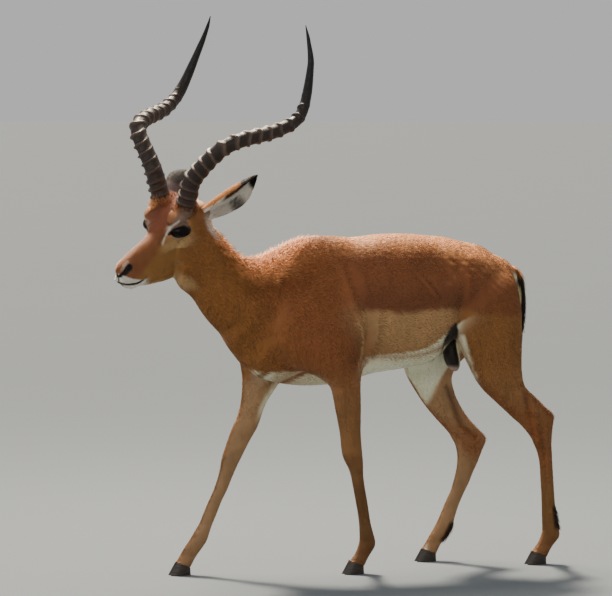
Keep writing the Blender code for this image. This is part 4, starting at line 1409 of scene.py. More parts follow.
def head_colour(points, normals):
    """Markings of the face with a painted highlight over the nostril, and how bare the skin is."""
    local = head_places(points)
    u, out, v = local[:, 0], np.abs(local[:, 1]), local[:, 2]
    fine = drift(points, 13, 21)
    colour = np.tile(CHEEK, (len(points), 1))
    # Dark bridge of the nose and forehead over a paler cheek.
    upper = ramp(v + 0.35 * (u - 100) * (u > 100) - 0.25 * out + fine * 2, -36, -12)
    colour = lay(colour, FACE, upper)
    crown = ramp(out + fine * 2, 36, 20) * ramp(v, -26, -8) * ramp(u, 212, 120)
    colour = lay(colour, FOREHEAD, 0.9 * crown)
    folded = np.stack([u, out, v], axis=1)
    left = local[:, 1] > 0
    # Patches on both sides of the face, then on its left alone: tone, share, centre, reach.
    for tone, share, centre, reach, where in (
            (BROW, 0.4, (112, 34, 6), (30, 18, 14), True),
            (FOREHEAD, 0.5, (30, 50, -32), (22, 30, 24), True),
            (RUST, 0.8, (52, 24, 30), (20, 15, 30), True),
            (RUST, 0.8, (98, 36, 20), (18, 14, 20), left),
            (EAR_INSIDE, 0.7, (4, 44, -2), (18, 16, 16), left)):
        colour = lay(colour, tone, share * spot(folded, centre, reach, 1.2) * where)
    colour = lay(colour, NECK_COAT, ramp(u, 140, 78) * ramp(v, -34, -64))
    jaw = ramp(normals[:, 2], -0.6, -0.9) * ramp(u, 40, 70)
    colour = lay(colour, THROAT, 0.7 * jaw)

    forward, up, outward = seen_from_eye(local)
    near = (np.abs(forward) < 62) & (np.abs(up) < 46)
    near = near * ramp(outward + 0.35 * np.clip(forward - 20, 0, 40), -20, -15)
    gap = lid_opening(forward, up)
    sight = np.stack([forward, up], axis=1)
    ring = spot(sight, (0, 4), (32, 22), 1.4) * near
    colour = lay(colour, BROW * 1.15, 0.5 * ring)
    lit = np.where(local[:, 1] > 0, 1.0, 0.35)
    colour = lay(colour, BROW_GREY, near * lit * 0.5 * spot(sight, (-13, 28), (30, 20), 1.0))
    # White arc before and over the eye, widest over the brow.
    arc, along = near_path(sight, ((8, 28), (18, 20), (27, 9), (36, -8), (48, -25)))
    wide = 1.4 + 1.5 * ramp(along, 50, 8)
    stroke = ramp(arc + 0.5 * fine, wide + 1.8, wide - 1.2)
    colour = lay(colour, WHITE_HAIR, near * lit * stroke * 0.75)
    under, _ = near_path(sight, ((-20, -14), (-4, -19), (17, -16)))
    colour = lay(colour, THROAT, near * 0.85 * spot(sight, (2, -35), (38, 22), 1.0))
    colour = lay(colour, BROW_GREY, near * ramp(under + 0.5 * fine, 5.0, 2.0) * 0.85)
    shade, _ = near_path(sight, ((-16, 18), (4, 20)))
    colour = lay(colour, DARK_SKIN * 2.5, near * ramp(shade + fine, 5.0, 2.0) * 0.25)
    rim = near * (outward > 2) * ramp(gap, -4.2, -2.4)
    colour = lay(colour, DARK_SKIN, rim)
    tear, _ = near_path(sight, ((23, -2), (31, -6)))
    colour = lay(colour, DARK_SKIN, near * (outward > -10) * ramp(tear, 3.2, 1.6))

    mouth, _ = near_path(np.stack([u, v], axis=1), MOUTH)
    # White lips and chin, parted by the dark line of the mouth.
    line = np.interp(u, (222, 233, 246, 262, 278, 299), (-88, -87, -85, -79, -70, -52))
    lean = (u - 262) * 0.5
    lip = ramp(v, line + 17 + lean, line + 13 + lean) * ramp(v, line - 4, line + 1)
    lip = lip * ramp(u + fine, 238, 252)
    chin = ramp(v, line + 2, line - 2) * ramp(u + fine * 2, 216, 236)
    front = ramp(u, 288, 294) * ramp(v, -42, -47)
    colour = lay(colour, WHITE_HAIR, np.maximum(np.maximum(lip, chin), front) * 0.96)
    profile = np.stack([u, v], axis=1)
    nostril, _ = near_path(profile, NOSTRIL)
    # Painted highlight: a thin white line along the top edge of the nostril.
    above, _ = near_path(profile, ((293, -30), (281, -24), (269, -18), (256, -17)))
    colour = lay(colour, WHITE_HAIR, 0.22 * ramp(above, 3.2, 1.2) * ramp(out, 5, 9))
    flare = 4.6 + 3.6 * ramp(u, 284, 270)
    bare = ramp(nostril, flare + 0.7, flare - 0.7) * ramp(u, 246, 252)
    pad = ramp(u, 288, 292) * ramp(out, 6, 4) * ramp(v, -46, -40) * ramp(v, -20, -24)
    bare = np.maximum(bare, pad)
    philtrum = ramp(out, 2.8, 1.4) * ramp(u, 276, 284) * ramp(v, -30, -36)
    bare = np.maximum(bare, philtrum)
    lips = ramp(mouth, 4.2, 2.2) * ramp(u, 228, 238)
    colour = lay(colour, DARK_SKIN, np.maximum(bare, lips))
    bare = np.maximum(np.maximum(bare, lips), np.maximum(rim, near * (gap > -2.4) * (outward > 0)))
    return colour, bare


def coat_colour(points, normals, weight):
    """Colour of the coat in linear light and how bare the skin is, for points in millimetres."""
    colour = body_colour(points, normals, weight)
    face, bare = head_colour(points, normals)
    head = np.clip(weight[2] * 1.6, 0, 1)
    colour = colour * (1 - head[:, None]) + face * head[:, None]
    folded = head_places(points)
    folded[:, 1] = np.abs(folded[:, 1])
    colour = lay(colour, EAR_INSIDE, 0.75 * spot(folded, (10, 54, -76), (12, 30, 32), 1.1))
    bare = np.maximum(bare * head, weight[8] * 0.7)
    colour *= (1 + 0.05 * drift(points, 90, 31) + 0.05 * drift(points, 26, 32))[:, None]
    return np.clip(colour, 0.004, 0.9), bare


def ear_colour(points, normals, side):
    """Markings of an ear, with painted shade and sheen on the back of the far ear."""
    opening = np.array(ear_axes(side)[3])
    facing = HEAD_AXES @ (opening * (1, -side, 1))
    inside = normals @ facing > 0
    part, lower = ear_places(points, side)
    fine = drift(points, 9, 41)
    back = np.tile(EAR_BACK, (len(points), 1))
    back = lay(back, EAR_INSIDE, 0.7 * ramp(part, 0.34, 0.10) * ramp(lower, -0.2, 0.3))
    cup = np.tile(EAR_INSIDE, (len(points), 1))
    freckles = ramp(np.abs(lower), 0.8, 0.2) * ramp(drift(points, 5, 42), -0.2, 0.6)
    cup = lay(cup, DARK_SKIN * 4, 0.5 * freckles)
    if side < 0:
        back = lay(back, BLACK_HAIR, ramp(part + fine * 0.01 - 0.1 * lower, 0.74, 0.82))
        edge = ramp(lower + fine * 0.06, -0.58, -0.76)
        cup = lay(cup, BLACK_HAIR, edge * ramp(part, 0.26, 0.40))
        patch = ramp(lower + fine * 0.1, 0.70, 0.92) * ramp(part, 0.36, 0.44)
        patch = patch * ramp(part, 0.66, 0.58)
        cup = lay(cup, BLACK_HAIR, 0.8 * patch)
        cup = lay(cup, BLACK_HAIR, ramp(part + fine * 0.01, 0.80, 0.86))
    else:
        # Back of the far ear: painted shade and sheen, grey instead of orange up to the black tip.
        back = lay(back, EAR_BACK_SHADE_SHEEN, ramp(part, 0.04, 0.16))
        back = lay(back, BLACK_HAIR, ramp(part + fine * 0.01, 0.30, 0.42))
        back = lay(back, BLACK_HAIR, ramp(points[:, 2] + 2 * fine, 984, 992))
        cup = lay(cup, BLACK_HAIR, ramp(np.abs(lower), 0.6, 0.8) + ramp(part, 0.6, 0.7))
        cup = lay(cup, BLACK_HAIR, ramp(points[:, 2] + 2 * fine, 984, 992))
    return np.clip(np.where(inside[:, None], cup, back), 0.004, 0.9), inside, part, lower


# ---------------------------------------------------------------- pieces from arrays

def shape_lock():
    """One lock of hair as a closed four-sided spike: along, across, over; and its faces."""
    mesh = bmesh.new()
    bmesh.ops.create_cone(mesh, cap_ends=True, segments=3, radius1=1.0, radius2=0.0, depth=1.0)
    bmesh.ops.triangulate(mesh, faces=mesh.faces)
    tip = max(mesh.verts, key=lambda vertex: vertex.co.z)
    base = [vertex for vertex in mesh.verts if vertex is not tip]
    for vertex, place in zip(base, ((0.0, -0.5, 0.0), (0.0, 0.5, 0.0), (0.34, 0.0, 1.0))):
        vertex.co = place
    tip.co = (1.0, 0.0, 0.0)
    bmesh.ops.recalc_face_normals(mesh, faces=mesh.faces)
    mesh.verts.index_update()
    corners = np.array([vertex.co for vertex in mesh.verts])
    faces = np.array([[vertex.index for vertex in face.verts] for face in mesh.faces])
    mesh.free()
    return corners, faces


LOCK, LOCK_FACES = shape_lock()


def stamp(name, roots, normals, lie, length, width, height, lift, colour, patch):
    """A piece of many locks: each one copy of the lock laid on the skin at its root."""
    count = len(roots)
    across = np.cross(normals, lie)
    along = lie * np.cos(lift)[:, None] + normals * np.sin(lift)[:, None]
    over = np.cross(along, across)
    over *= np.sign(np.sum(over * normals, axis=1))[:, None]
    places = (roots[:, None]
              + LOCK[None, :, 0, None] * along[:, None] * length[:, None, None]
              + LOCK[None, :, 1, None] * across[:, None] * width[:, None, None]
              + LOCK[None, :, 2, None] * over[:, None] * height[:, None, None])
    mesh = bpy.data.meshes.new(name)
    mesh.vertices.add(count * 4)
    mesh.vertices.foreach_set("co", (places * MM + np.array(SHIFT)).astype(np.float32).ravel())
    mesh.loops.add(count * 12)
    faces = (np.arange(count)[:, None, None] * 4 + LOCK_FACES[None]).astype(np.int32)
    mesh.loops.foreach_set("vertex_index", faces.ravel())
    mesh.polygons.add(count * 4)
    mesh.polygons.foreach_set("loop_start", np.arange(count * 4, dtype=np.int32) * 3)
    mesh.polygons.foreach_set("use_smooth", np.ones(count * 4, dtype=bool))
    shade = np.where(LOCK[:, 0] > 0.9, 1.07, np.where(LOCK[:, 0] > 0.1, 1.0, 0.92))
    tones = np.ones((count, 4, 4), dtype=np.float32)
    tones[:, :, :3] = np.clip(colour[:, None] * shade[None, :, None], 0, 1)
    layer = mesh.attributes.new("coat", 'FLOAT_COLOR', 'POINT')
    layer.data.foreach_set("color", tones.ravel())
    up_lock = np.where(LOCK[:, 0] > 0.9, BAKE_PATCH, LOCK[:, 0] * BAKE_PATCH)
    small = np.stack([LOCK[:, 1] * BAKE_PATCH, up_lock], axis=1)
    spread = patch[:, None] + small[None]
    uv = mesh.uv_layers.new(name="OFBake")
    uv.uv.foreach_set("vector", spread.reshape(-1, 2)[faces.ravel()].astype(np.float32).ravel())
    mesh.update(calc_edges=True)
    thing = bpy.data.objects.new(name, mesh)
    bpy.context.scene.collection.objects.link(thing)
    return thing


def triangles(mesh):
    """Corner numbers of a mesh's triangles."""
    mesh.calc_loop_triangles()
    corners = np.empty(len(mesh.loop_triangles) * 3, dtype=np.int32)
    mesh.loop_triangles.foreach_get("vertices", corners)
    return corners.reshape(-1, 3)


def soothe(lie, normals, corners, passes):
    """The run of the hair with its sudden turns evened out over the skin."""
    pairs = np.concatenate([corners[:, (0, 1)], corners[:, (1, 2)], corners[:, (2, 0)]])
    first, second = pairs.T
    count = np.maximum(np.bincount(pairs.ravel(), minlength=len(lie)), 1)
    for _ in range(passes):
        around = np.stack([np.bincount(first, weights=lie[second, k], minlength=len(lie))
                           + np.bincount(second, weights=lie[first, k], minlength=len(lie))
                           for k in range(3)], axis=1)
        lie = lie + around / count[:, None]
        lie = unit(lie - normals * np.sum(lie * normals, axis=1)[:, None])
    return lie


class Strands:
    """Roots of locks scattered evenly over a mesh."""

    def __init__(self, places, normals, corners, density, seed):
        random = np.random.default_rng(seed)
        a, b, c = (places[corners[:, k]] for k in range(3))
        area = np.linalg.norm(np.cross(b - a, c - a), axis=1) / 2
        share = np.cumsum(area * density[corners].mean(axis=1))
        count = int(share[-1])
        wanted = (np.arange(count) + random.random(count)) * share[-1] / count
        face = np.searchsorted(share, wanted).clip(0, len(corners) - 1)
        s, t = random.random((2, count))
        over = s + t > 1
        s, t = np.where(over, 1 - s, s), np.where(over, 1 - t, t)
        mix = np.stack([1 - s - t, s, t], axis=1)
        self.corners = corners[face]
        self.mix = mix
        self.roots = self.carry(places)
        self.normals = unit(self.carry(normals))
        self.count = count
        self.random = random

    def carry(self, values):
        """Values at the roots, from values at the mesh's points."""
        if values.ndim == 1:
            return np.sum(values[self.corners] * self.mix, axis=1)
        return np.sum(values[self.corners] * self.mix[:, :, None], axis=1)


def turned(lie, normals, angle):
    """The lie swung round the skin by an angle for each lock."""
    across = np.cross(normals, lie)
    return lie * np.cos(angle)[:, None] + across * np.sin(angle)[:, None]


# Length of the locks on each of PARTS, millimetres.
LOCK_LENGTHS = (15.5, 14.0, 5.2, 10.5, 10.5, 11.0, 11.0, 26.0, 2.5)


def lock_sizes(points, normals, weight):
    """Length, width, standing angle, scatter and cover of the locks by place."""
    x, _, z = points.T
    legs = weight[3:7].sum(axis=0)
    length = weight.T @ np.array(LOCK_LENGTHS)
    lower = legs * ramp(z, 450, 330)
    length = length - lower * 3.6
    length -= legs * 1.6 * ramp(z, 90, 40)
    length += 2.5 * weight[0] * ramp(normals[:, 2], -0.3, -0.9)
    crest = (weight[0] * ramp(x, -40, -170) + weight[1]) * ramp(normals[:, 2], 0.1, 0.6)
    crest *= ramp(x, -400, -330)
    length += 5.0 * crest
    local = head_places(points)
    back = weight[2] * ramp(local[:, 0], 120, 20)
    length += 2.5 * back - 1.6 * weight[2] * ramp(local[:, 0], 200, 270)
    cuff = np.maximum(horn_cuff(points, -1)[0], horn_cuff(points, 1)[0])
    length += 8.0 * cuff
    tuft = fetlock_tuft(points, normals, "hind_left") * weight[5]
    tuft += fetlock_tuft(points, normals, "hind_right") * weight[6]
    length += 12.0 * tuft
    rough = ruffle(points) * (weight[0] + weight[1])
    length += 6.0 * rough
    width = np.clip(length * 0.11, 0.75, 1.7) + 0.9 * rough
    stand = np.radians(4.0 - 1.2 * weight[0] - 1.2 * weight[0] * ramp(z, 790, 740)
                       + 4.0 * weight[2] + 13.0 * crest + 2.0 * lower + 5.0 * weight[7]
                       + 14.0 * tuft + 12.0 * rough + 38.0 * cuff)
    scatter = 0.10 + 0.20 * crest + 0.26 * rough + 0.10 * weight[2] * ramp(local[:, 0], 60, 0)
    cover = 1.75 + 0.45 * weight[1] - 0.2 * legs + 0.8 * weight[7] + 1.6 * tuft
    return length, width, stand, scatter, cover


def unwrap(angle, station):
    """Place of each lock on an unrolled skin, from 0 to 1 both ways."""
    low = np.percentile(station, 0.5)
    high = np.percentile(station, 99.5)
    across = (angle / (2 * math.pi) + 0.5) % 1.0
    along = np.clip(0.01 + 0.98 * (station - low) / max(high - low, 1.0), 0.005, 0.99)
    return np.stack([np.clip(0.01 + 0.98 * across, 0.005, 0.995), along], axis=1)


# ---------------------------------------------------------------- surfaces

def add_node(tree, kind, settings=None, inputs=None):
    """Add a node; inputs are plain values or output sockets to link."""
    node = tree.nodes.new(kind)
    for key, value in (settings or {}).items():
        setattr(node, key, value)
    for key, value in (inputs or {}).items():
        if isinstance(value, bpy.types.NodeSocket):
            tree.links.new(value, node.inputs[key])
        else:
            node.inputs[key].default_value = value
    return node


def rgba(word):
    """A colour written as six hex figures, for a node's socket."""
    return (*paint(word), 1.0)


def new_surface(name, sockets):
    """A material with its main shader, plain values set on the shader's own sockets."""
    stuff = bpy.data.materials.new(name)
    stuff.use_nodes = True
    tree = stuff.node_tree
    shader = tree.nodes["Principled BSDF"]
    for key, value in sockets.items():
        shader.inputs[key].default_value = value
    return stuff, tree, shader


def bump_into(tree, shader, height, strength, distance):
    """Raise the surface by a height pattern."""
    bump = add_node(tree, 'ShaderNodeBump', None,
                    {"Height": height, "Strength": strength, "Distance": distance})
    tree.links.new(bump.outputs["Normal"], shader.inputs["Normal"])


def hair_surface(name, grain, sheen=0.22, gloss=0.30):
    """Impala coat: short glossy hair.  The markings come with the mesh; fine streaks of
    darker and lighter hair 1 mm wide break them up, and bare skin is smoother."""
    stuff, tree, shader = new_surface(name, {
        "Roughness": 0.52, "IOR": 1.5, "Specular IOR Level": gloss,
        "Sheen Weight": sheen, "Sheen Roughness": 0.35, "Sheen Tint": rgba("FFCFA0")})
    marks = add_node(tree, 'ShaderNodeAttribute', {"attribute_name": "coat"})
    if grain:
        place = add_node(tree, 'ShaderNodeAttribute', {"attribute_name": "grain"})
        where = place.outputs["Vector"]
    else:
        place = add_node(tree, 'ShaderNodeTexCoord')
        sized = add_node(tree, 'ShaderNodeMapping', None, {"Scale": (420.0, 420.0, 420.0)})
        tree.links.new(place.outputs["Object"], sized.inputs["Vector"])
        where = sized.outputs["Vector"]
    streaks = add_node(tree, 'ShaderNodeTexNoise', None,
                       {"Vector": where, "Scale": 1.0, "Detail": 3.0, "Roughness": 0.6})
    tone = add_node(tree, 'ShaderNodeMapRange', None,
                    {"Value": streaks.outputs["Fac"], "From Min": 0.3, "From Max": 0.7,
                     "To Min": 0.92, "To Max": 1.08})
    mixed = add_node(tree, 'ShaderNodeMix', {"data_type": 'RGBA', "blend_type": 'MULTIPLY'},
                     {0: 1.0, 6: marks.outputs["Color"], 7: tone.outputs["Result"]})
    tree.links.new(mixed.outputs[2], shader.inputs["Base Color"])
    if grain:
        bareness = add_node(tree, 'ShaderNodeMapRange', None,
                            {"Value": marks.outputs["Alpha"], "To Min": 0.34, "To Max": 0.64})
        tree.links.new(bareness.outputs["Result"], shader.inputs["Roughness"])
        bump_into(tree, shader, streaks.outputs["Fac"], 0.5, 0.0012)
    return stuff


def horn_surface():
    """Horn: dark brown keratin with paler crests, worn and given a painted highlight, and fine
    lengthwise fibres.
    """
    stuff, tree, shader = new_surface("Horn keratin", {
        "Roughness": 0.5, "IOR": 1.54, "Specular IOR Level": 0.32})
    marks = add_node(tree, 'ShaderNodeAttribute', {"attribute_name": "coat"})
    place = add_node(tree, 'ShaderNodeAttribute', {"attribute_name": "grain"})
    fibres = add_node(tree, 'ShaderNodeTexNoise', None,
                      {"Vector": place.outputs["Vector"], "Scale": 1.0, "Detail": 4.0,
                       "Roughness": 0.65})
    where = add_node(tree, 'ShaderNodeTexCoord')
    grime = add_node(tree, 'ShaderNodeTexNoise', None,
                     {"Vector": where.outputs["Object"], "Scale": 110.0, "Detail": 3.0})
    tone = add_node(tree, 'ShaderNodeMapRange', None,
                    {"Value": fibres.outputs["Fac"], "From Min": 0.3, "From Max": 0.7,
                     "To Min": 0.72, "To Max": 1.25})
    mixed = add_node(tree, 'ShaderNodeMix', {"data_type": 'RGBA', "blend_type": 'MULTIPLY'},
                     {0: 1.0, 6: marks.outputs["Color"], 7: tone.outputs["Result"]})
    tree.links.new(mixed.outputs[2], shader.inputs["Base Color"])
    worn = add_node(tree, 'ShaderNodeMapRange', None,
                    {"Value": grime.outputs["Fac"], "From Min": 0.35, "From Max": 0.65,
                     "To Min": 0.36, "To Max": 0.62})
    tree.links.new(worn.outputs["Result"], shader.inputs["Roughness"])
    bump_into(tree, shader, fibres.outputs["Fac"], 0.3, 0.0010)
    return stuff


def eye_surface():
    """Wet eye: brown-black all through, mottled with faint brown, under a clear film."""
    stuff, tree, shader = new_surface("Wet eye", {
        "Roughness": 0.12, "IOR": 1.34, "Specular IOR Level": 0.14,
        "Coat Weight": 0.25, "Coat Roughness": 0.03, "Coat IOR": 1.33})
    where = add_node(tree, 'ShaderNodeTexCoord')
    veins = add_node(tree, 'ShaderNodeTexNoise', None,
                     {"Vector": where.outputs["Object"], "Scale": 240.0, "Detail": 2.0})
    ramp_node = add_node(tree, 'ShaderNodeValToRGB', None, {"Fac": veins.outputs["Fac"]})
    ramp_node.color_ramp.elements[0].color = rgba("070506")
    ramp_node.color_ramp.elements[1].color = rgba("140D09")
    tree.links.new(ramp_node.outputs["Color"], shader.inputs["Base Color"])
    return stuff


def hoof_surface():
    """Hoof wall: near-black horn with growth rings 2 mm apart."""
    stuff, tree, shader = new_surface("Hoof wall", {
        "Roughness": 0.42, "IOR": 1.54, "Specular IOR Level": 0.45})
    where = add_node(tree, 'ShaderNodeTexCoord')
    squash = add_node(tree, 'ShaderNodeMapping', None, {"Scale": (60.0, 60.0, 520.0)})
    tree.links.new(where.outputs["Object"], squash.inputs["Vector"])
    rings = add_node(tree, 'ShaderNodeTexNoise', None,
                     {"Vector": squash.outputs["Vector"], "Scale": 1.0, "Detail": 3.0})
    tone = add_node(tree, 'ShaderNodeValToRGB', None, {"Fac": rings.outputs["Fac"]})
    tone.color_ramp.elements[0].position = 0.3
    tone.color_ramp.elements[0].color = rgba("17120F")
    tone.color_ramp.elements[1].position = 0.75
    tone.color_ramp.elements[1].color = rgba("463A30")
    tree.links.new(tone.outputs["Color"], shader.inputs["Base Color"])
    bump_into(tree, shader, rings.outputs["Fac"], 0.35, 0.0008)
    return stuff


def floor_surface():
    """Studio floor: matt grey paper, pale under the soft lights, its tone a touch uneven."""
    stuff, tree, shader = new_surface("Studio paper", {"Roughness": 0.9})
    where = add_node(tree, 'ShaderNodeTexCoord')
    cloud = add_node(tree, 'ShaderNodeTexNoise', None,
                     {"Vector": where.outputs["Object"], "Scale": 1.2, "Detail": 2.0})
    tone = add_node(tree, 'ShaderNodeValToRGB', None, {"Fac": cloud.outputs["Fac"]})
    tone.color_ramp.elements[0].color = rgba("626A70")
    tone.color_ramp.elements[1].color = rgba("656D73")
    tree.links.new(tone.outputs["Color"], shader.inputs["Base Color"])
    return stuff


# ---------------------------------------------------------------- building the animal

def mark(mesh, colour, bare, grain):
    """Store the markings and the run of the hair on a mesh's points."""
    tones = np.ones((len(mesh.vertices), 4), dtype=np.float32)
    tones[:, :3] = colour
    tones[:, 3] = 1 - np.clip(bare, 0, 1)
    layer = mesh.attributes.new("coat", 'FLOAT_COLOR', 'POINT')
    layer.data.foreach_set("color", tones.ravel())
    layer = mesh.attributes.new("grain", 'FLOAT_VECTOR', 'POINT')
    layer.data.foreach_set("vector", grain.astype(np.float32).ravel())


def make_ears():
    """Both ears in the tables' frame, and how many points the left one has."""
    left = loft(ear_rings(-1))
    right = loft(ear_rings(1))
    count = len(left.verts)
    return gather([left, right], "ears"), count


def dress(thing, name, nodes, surface):
    """Finish a piece: its name and material, the body it rides on, and the solids it replaces,
    which it hides.
    """
    thing.name = name
    thing.data.name = name
    thing.data.materials.clear()
    thing.data.materials.append(surface)
    for polygon in thing.data.polygons:
        polygon.use_smooth = True
    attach(thing, "root")
    if nodes:
        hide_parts(*nodes)


def dress_horns():
    """Both horns: dark brown, warmer at the base, paler on the rings from wear and a painted
    highlight on their front-facing crests, black at the tip.
    """
    meshes = []
    crests = []
    parts = []
    for side in (-1, 1):
        mesh, side_crests, side_parts = horn_mesh(side)
        meshes.append(mesh)
        crests += side_crests
        parts += side_parts
    horns = gather(meshes, "horns")
    crests = np.array(crests)
    parts = np.array(parts)
    turn = np.tile(np.arange(HORN_CORNERS), len(parts) // HORN_CORNERS) / HORN_CORNERS
    tone = np.tile(HORN_BROWN, (len(parts), 1))
    tone = lay(tone, HORN_BASE, ramp(parts, 0.18, 0.02) * 0.6)
    # Pale crests: wear plus a painted highlight, strongest where the crests face forward.
    worn = crests * 0.42 * ramp(parts, 0.62, 0.5)
    tone = lay(tone, HORN_WEAR_AND_HIGHLIGHT, worn * (0.4 + 0.6 * ramp(parts, 0.08, 0.3)))
    tone = lay(tone, HORN_TIP, ramp(parts, 0.60, 0.78))
    fibres = np.stack([parts * 30, np.sin(turn * 2 * math.pi) * 14,
                       np.cos(turn * 2 * math.pi) * 14], axis=1)
    mark(horns.data, tone, np.zeros(len(tone)), fibres)
    move_home(horns)
    dress(horns, "horns", ("horn_left", "horn_right"), horn_surface())


def dress_eyes():
    """Both eyeballs behind their lids."""
    meshes = []
    for side in (-1, 1):
        centre = (EYE_AT[0], -side * EYE_AT[1], EYE_AT[2])
        radii = (EYE_RADII[0], EYE_RADII[2], EYE_RADII[1])
        mesh = ball(centre, radii, eye_turn(side), segments=56, rows=28)
        bmesh.ops.transform(mesh, matrix=HEAD_PLACE, verts=mesh.verts)
        meshes.append(mesh)
    eyes = gather(meshes, "eyes")
    move_home(eyes)
    dress(eyes, "eyes", ("eye_left", "eye_right"), eye_surface())


def dress_hooves():
    """The eight claws of the four feet."""
    meshes = []
    nodes = []
    for name, (toe, heel, out, side) in FEET.items():
        for inner, word in ((1, "inner"), (-1, "outer")):
            middle = side * (out - inner * (CLAW_HALF + CLEFT / 2))
            meshes.append(claw_mesh(toe, heel, middle, -inner * side))
            nodes.append(name + "_claw_" + word)
    hooves = gather(meshes, "hooves")
    move_home(hooves)
    dress(hooves, "hooves", nodes, hoof_surface())


FLESH = ["trunk", "neck", "head", "tail", "scrotum", "ear_left", "ear_right"]
for foot in FEET:
    FLESH += [foot + "_upper", foot + "_cannon", foot + "_foot"]

hair = hair_surface("Short coat hair", True)
lock_hair = hair_surface("Coat tufts", False)
ear_hair = hair_surface("Fine ear hair", False, 0.05, 0.12)

skin = skin_form()
skin_places = points_of(skin.data) / MM
skin_normals = normals_of(skin.data)
skin_corners = triangles(skin.data)
number, weight, angle, station = whereabouts(skin_places)
colour, bare = coat_colour(skin_places, skin_normals, weight)
lie = lie_of_coat(skin_places, skin_normals, weight)
lie = soothe(lie, skin_normals, skin_corners, LIE_PASSES)
radius = np.where(number < 2, 110.0, np.where(number == 2, 50.0, 30.0))
grain = np.stack([station / 9.0, angle * radius / 1.3, number * 7.0], axis=1)
mark(skin.data, colour * SKIN_TONE, bare, grain)

ears, ear_split = make_ears()
ear_points = points_of(ears.data) / MM
ear_normals = normals_of(ears.data)
ear_corners = triangles(ears.data)
halves = []
for side, keep in ((-1, slice(0, ear_split)), (1, slice(ear_split, None))):
    halves.append(ear_colour(ear_points[keep], ear_normals[keep], side))
ear_tone, ear_inside, ear_part, ear_lower = (np.concatenate([a, b]) for a, b in zip(*halves))
ear_grain = np.stack([ear_part * 15, ear_lower * 22, ear_inside * 9.0], axis=1)
mark(ears.data, ear_tone * SKIN_TONE, np.zeros(len(ear_tone)), ear_grain)

for thing in (skin, ears):
    move_home(thing)
whole = bmesh.new()
whole.from_mesh(skin.data)
whole.from_mesh(ears.data)
bpy.data.objects.remove(ears)
whole.to_mesh(skin.data)
whole.free()
dress(skin, "skin", FLESH, hair)

# Tufts over the body.
length, width, stand, scatter, cover = lock_sizes(skin_places, skin_normals, weight)
density = cover / (length * width * 0.5)
density *= ramp(bare, 0.75, 0.25)
calm = soothe(skin_normals, 0 * skin_normals, skin_corners, CALM_PASSES)
strands = Strands(skin_places, calm, skin_corners, density, SEED)
roots = strands.roots
normals = strands.normals
part_number, part_weight, part_angle, part_station = whereabouts(roots)
tone = coat_colour(roots, normals, part_weight)[0]
run = strands.carry(lie)
for side in (-1, 1):
    cuff, inward = horn_cuff(roots, side)
    run = run * (1 - cuff[:, None]) + inward * cuff[:, None]
run = unit(run - normals * np.sum(run * normals, axis=1)[:, None])
random = strands.random
swing = random.normal(0, 1, strands.count) * strands.carry(scatter)
swing += 0.16 * drift(roots, 55, 51) + 0.10 * drift(roots, 21, 52)
run = turned(run, normals, swing)
long = strands.carry(length) * random.uniform(0.72, 1.15, strands.count)
wide = strands.carry(width) * random.uniform(0.75, 1.2, strands.count)
lift = strands.carry(stand) * random.uniform(0.5, 1.5, strands.count)
spread = 0.10 + 0.20 * (ruffle(roots) * (part_weight[0] + part_weight[1]))
tone = tone * (1 + spread * random.uniform(-1, 1, strands.count))[:, None]
tone[:, 0] *= random.uniform(0.97, 1.03, strands.count)
left = roots[:, 1] < 0
groups = {
    "coat_trunk_front_left": (part_number == 0) & left & (roots[:, 0] < TRUNK_SPLIT),
    "coat_trunk_front_right": (part_number == 0) & ~left & (roots[:, 0] < TRUNK_SPLIT),
    "coat_trunk_rear_left": (part_number == 0) & left & (roots[:, 0] >= TRUNK_SPLIT),
    "coat_trunk_rear_right": (part_number == 0) & ~left & (roots[:, 0] >= TRUNK_SPLIT),
    "coat_neck": part_number == 1,
    "coat_head_left": (part_number == 2) & (head_places(roots)[:, 1] >= 0),
    "coat_head_right": (part_number == 2) & (head_places(roots)[:, 1] < 0),
    "coat_fore_left": part_number == 3,
    "coat_fore_right": part_number == 4,
    "coat_hind_left": part_number == 5,
    "coat_hind_right": part_number == 6,
    "coat_tail": part_number >= 7,
}
for name, chosen in groups.items():
    patch = unwrap(part_angle[chosen], part_station[chosen])
    piece = stamp(name, roots[chosen] - normals[chosen] * ROOT_DEPTH, normals[chosen], run[chosen],
                  long[chosen], wide[chosen], LOCK_RISE * wide[chosen], lift[chosen],
                  tone[chosen], patch)
    dress(piece, name, (), lock_hair)

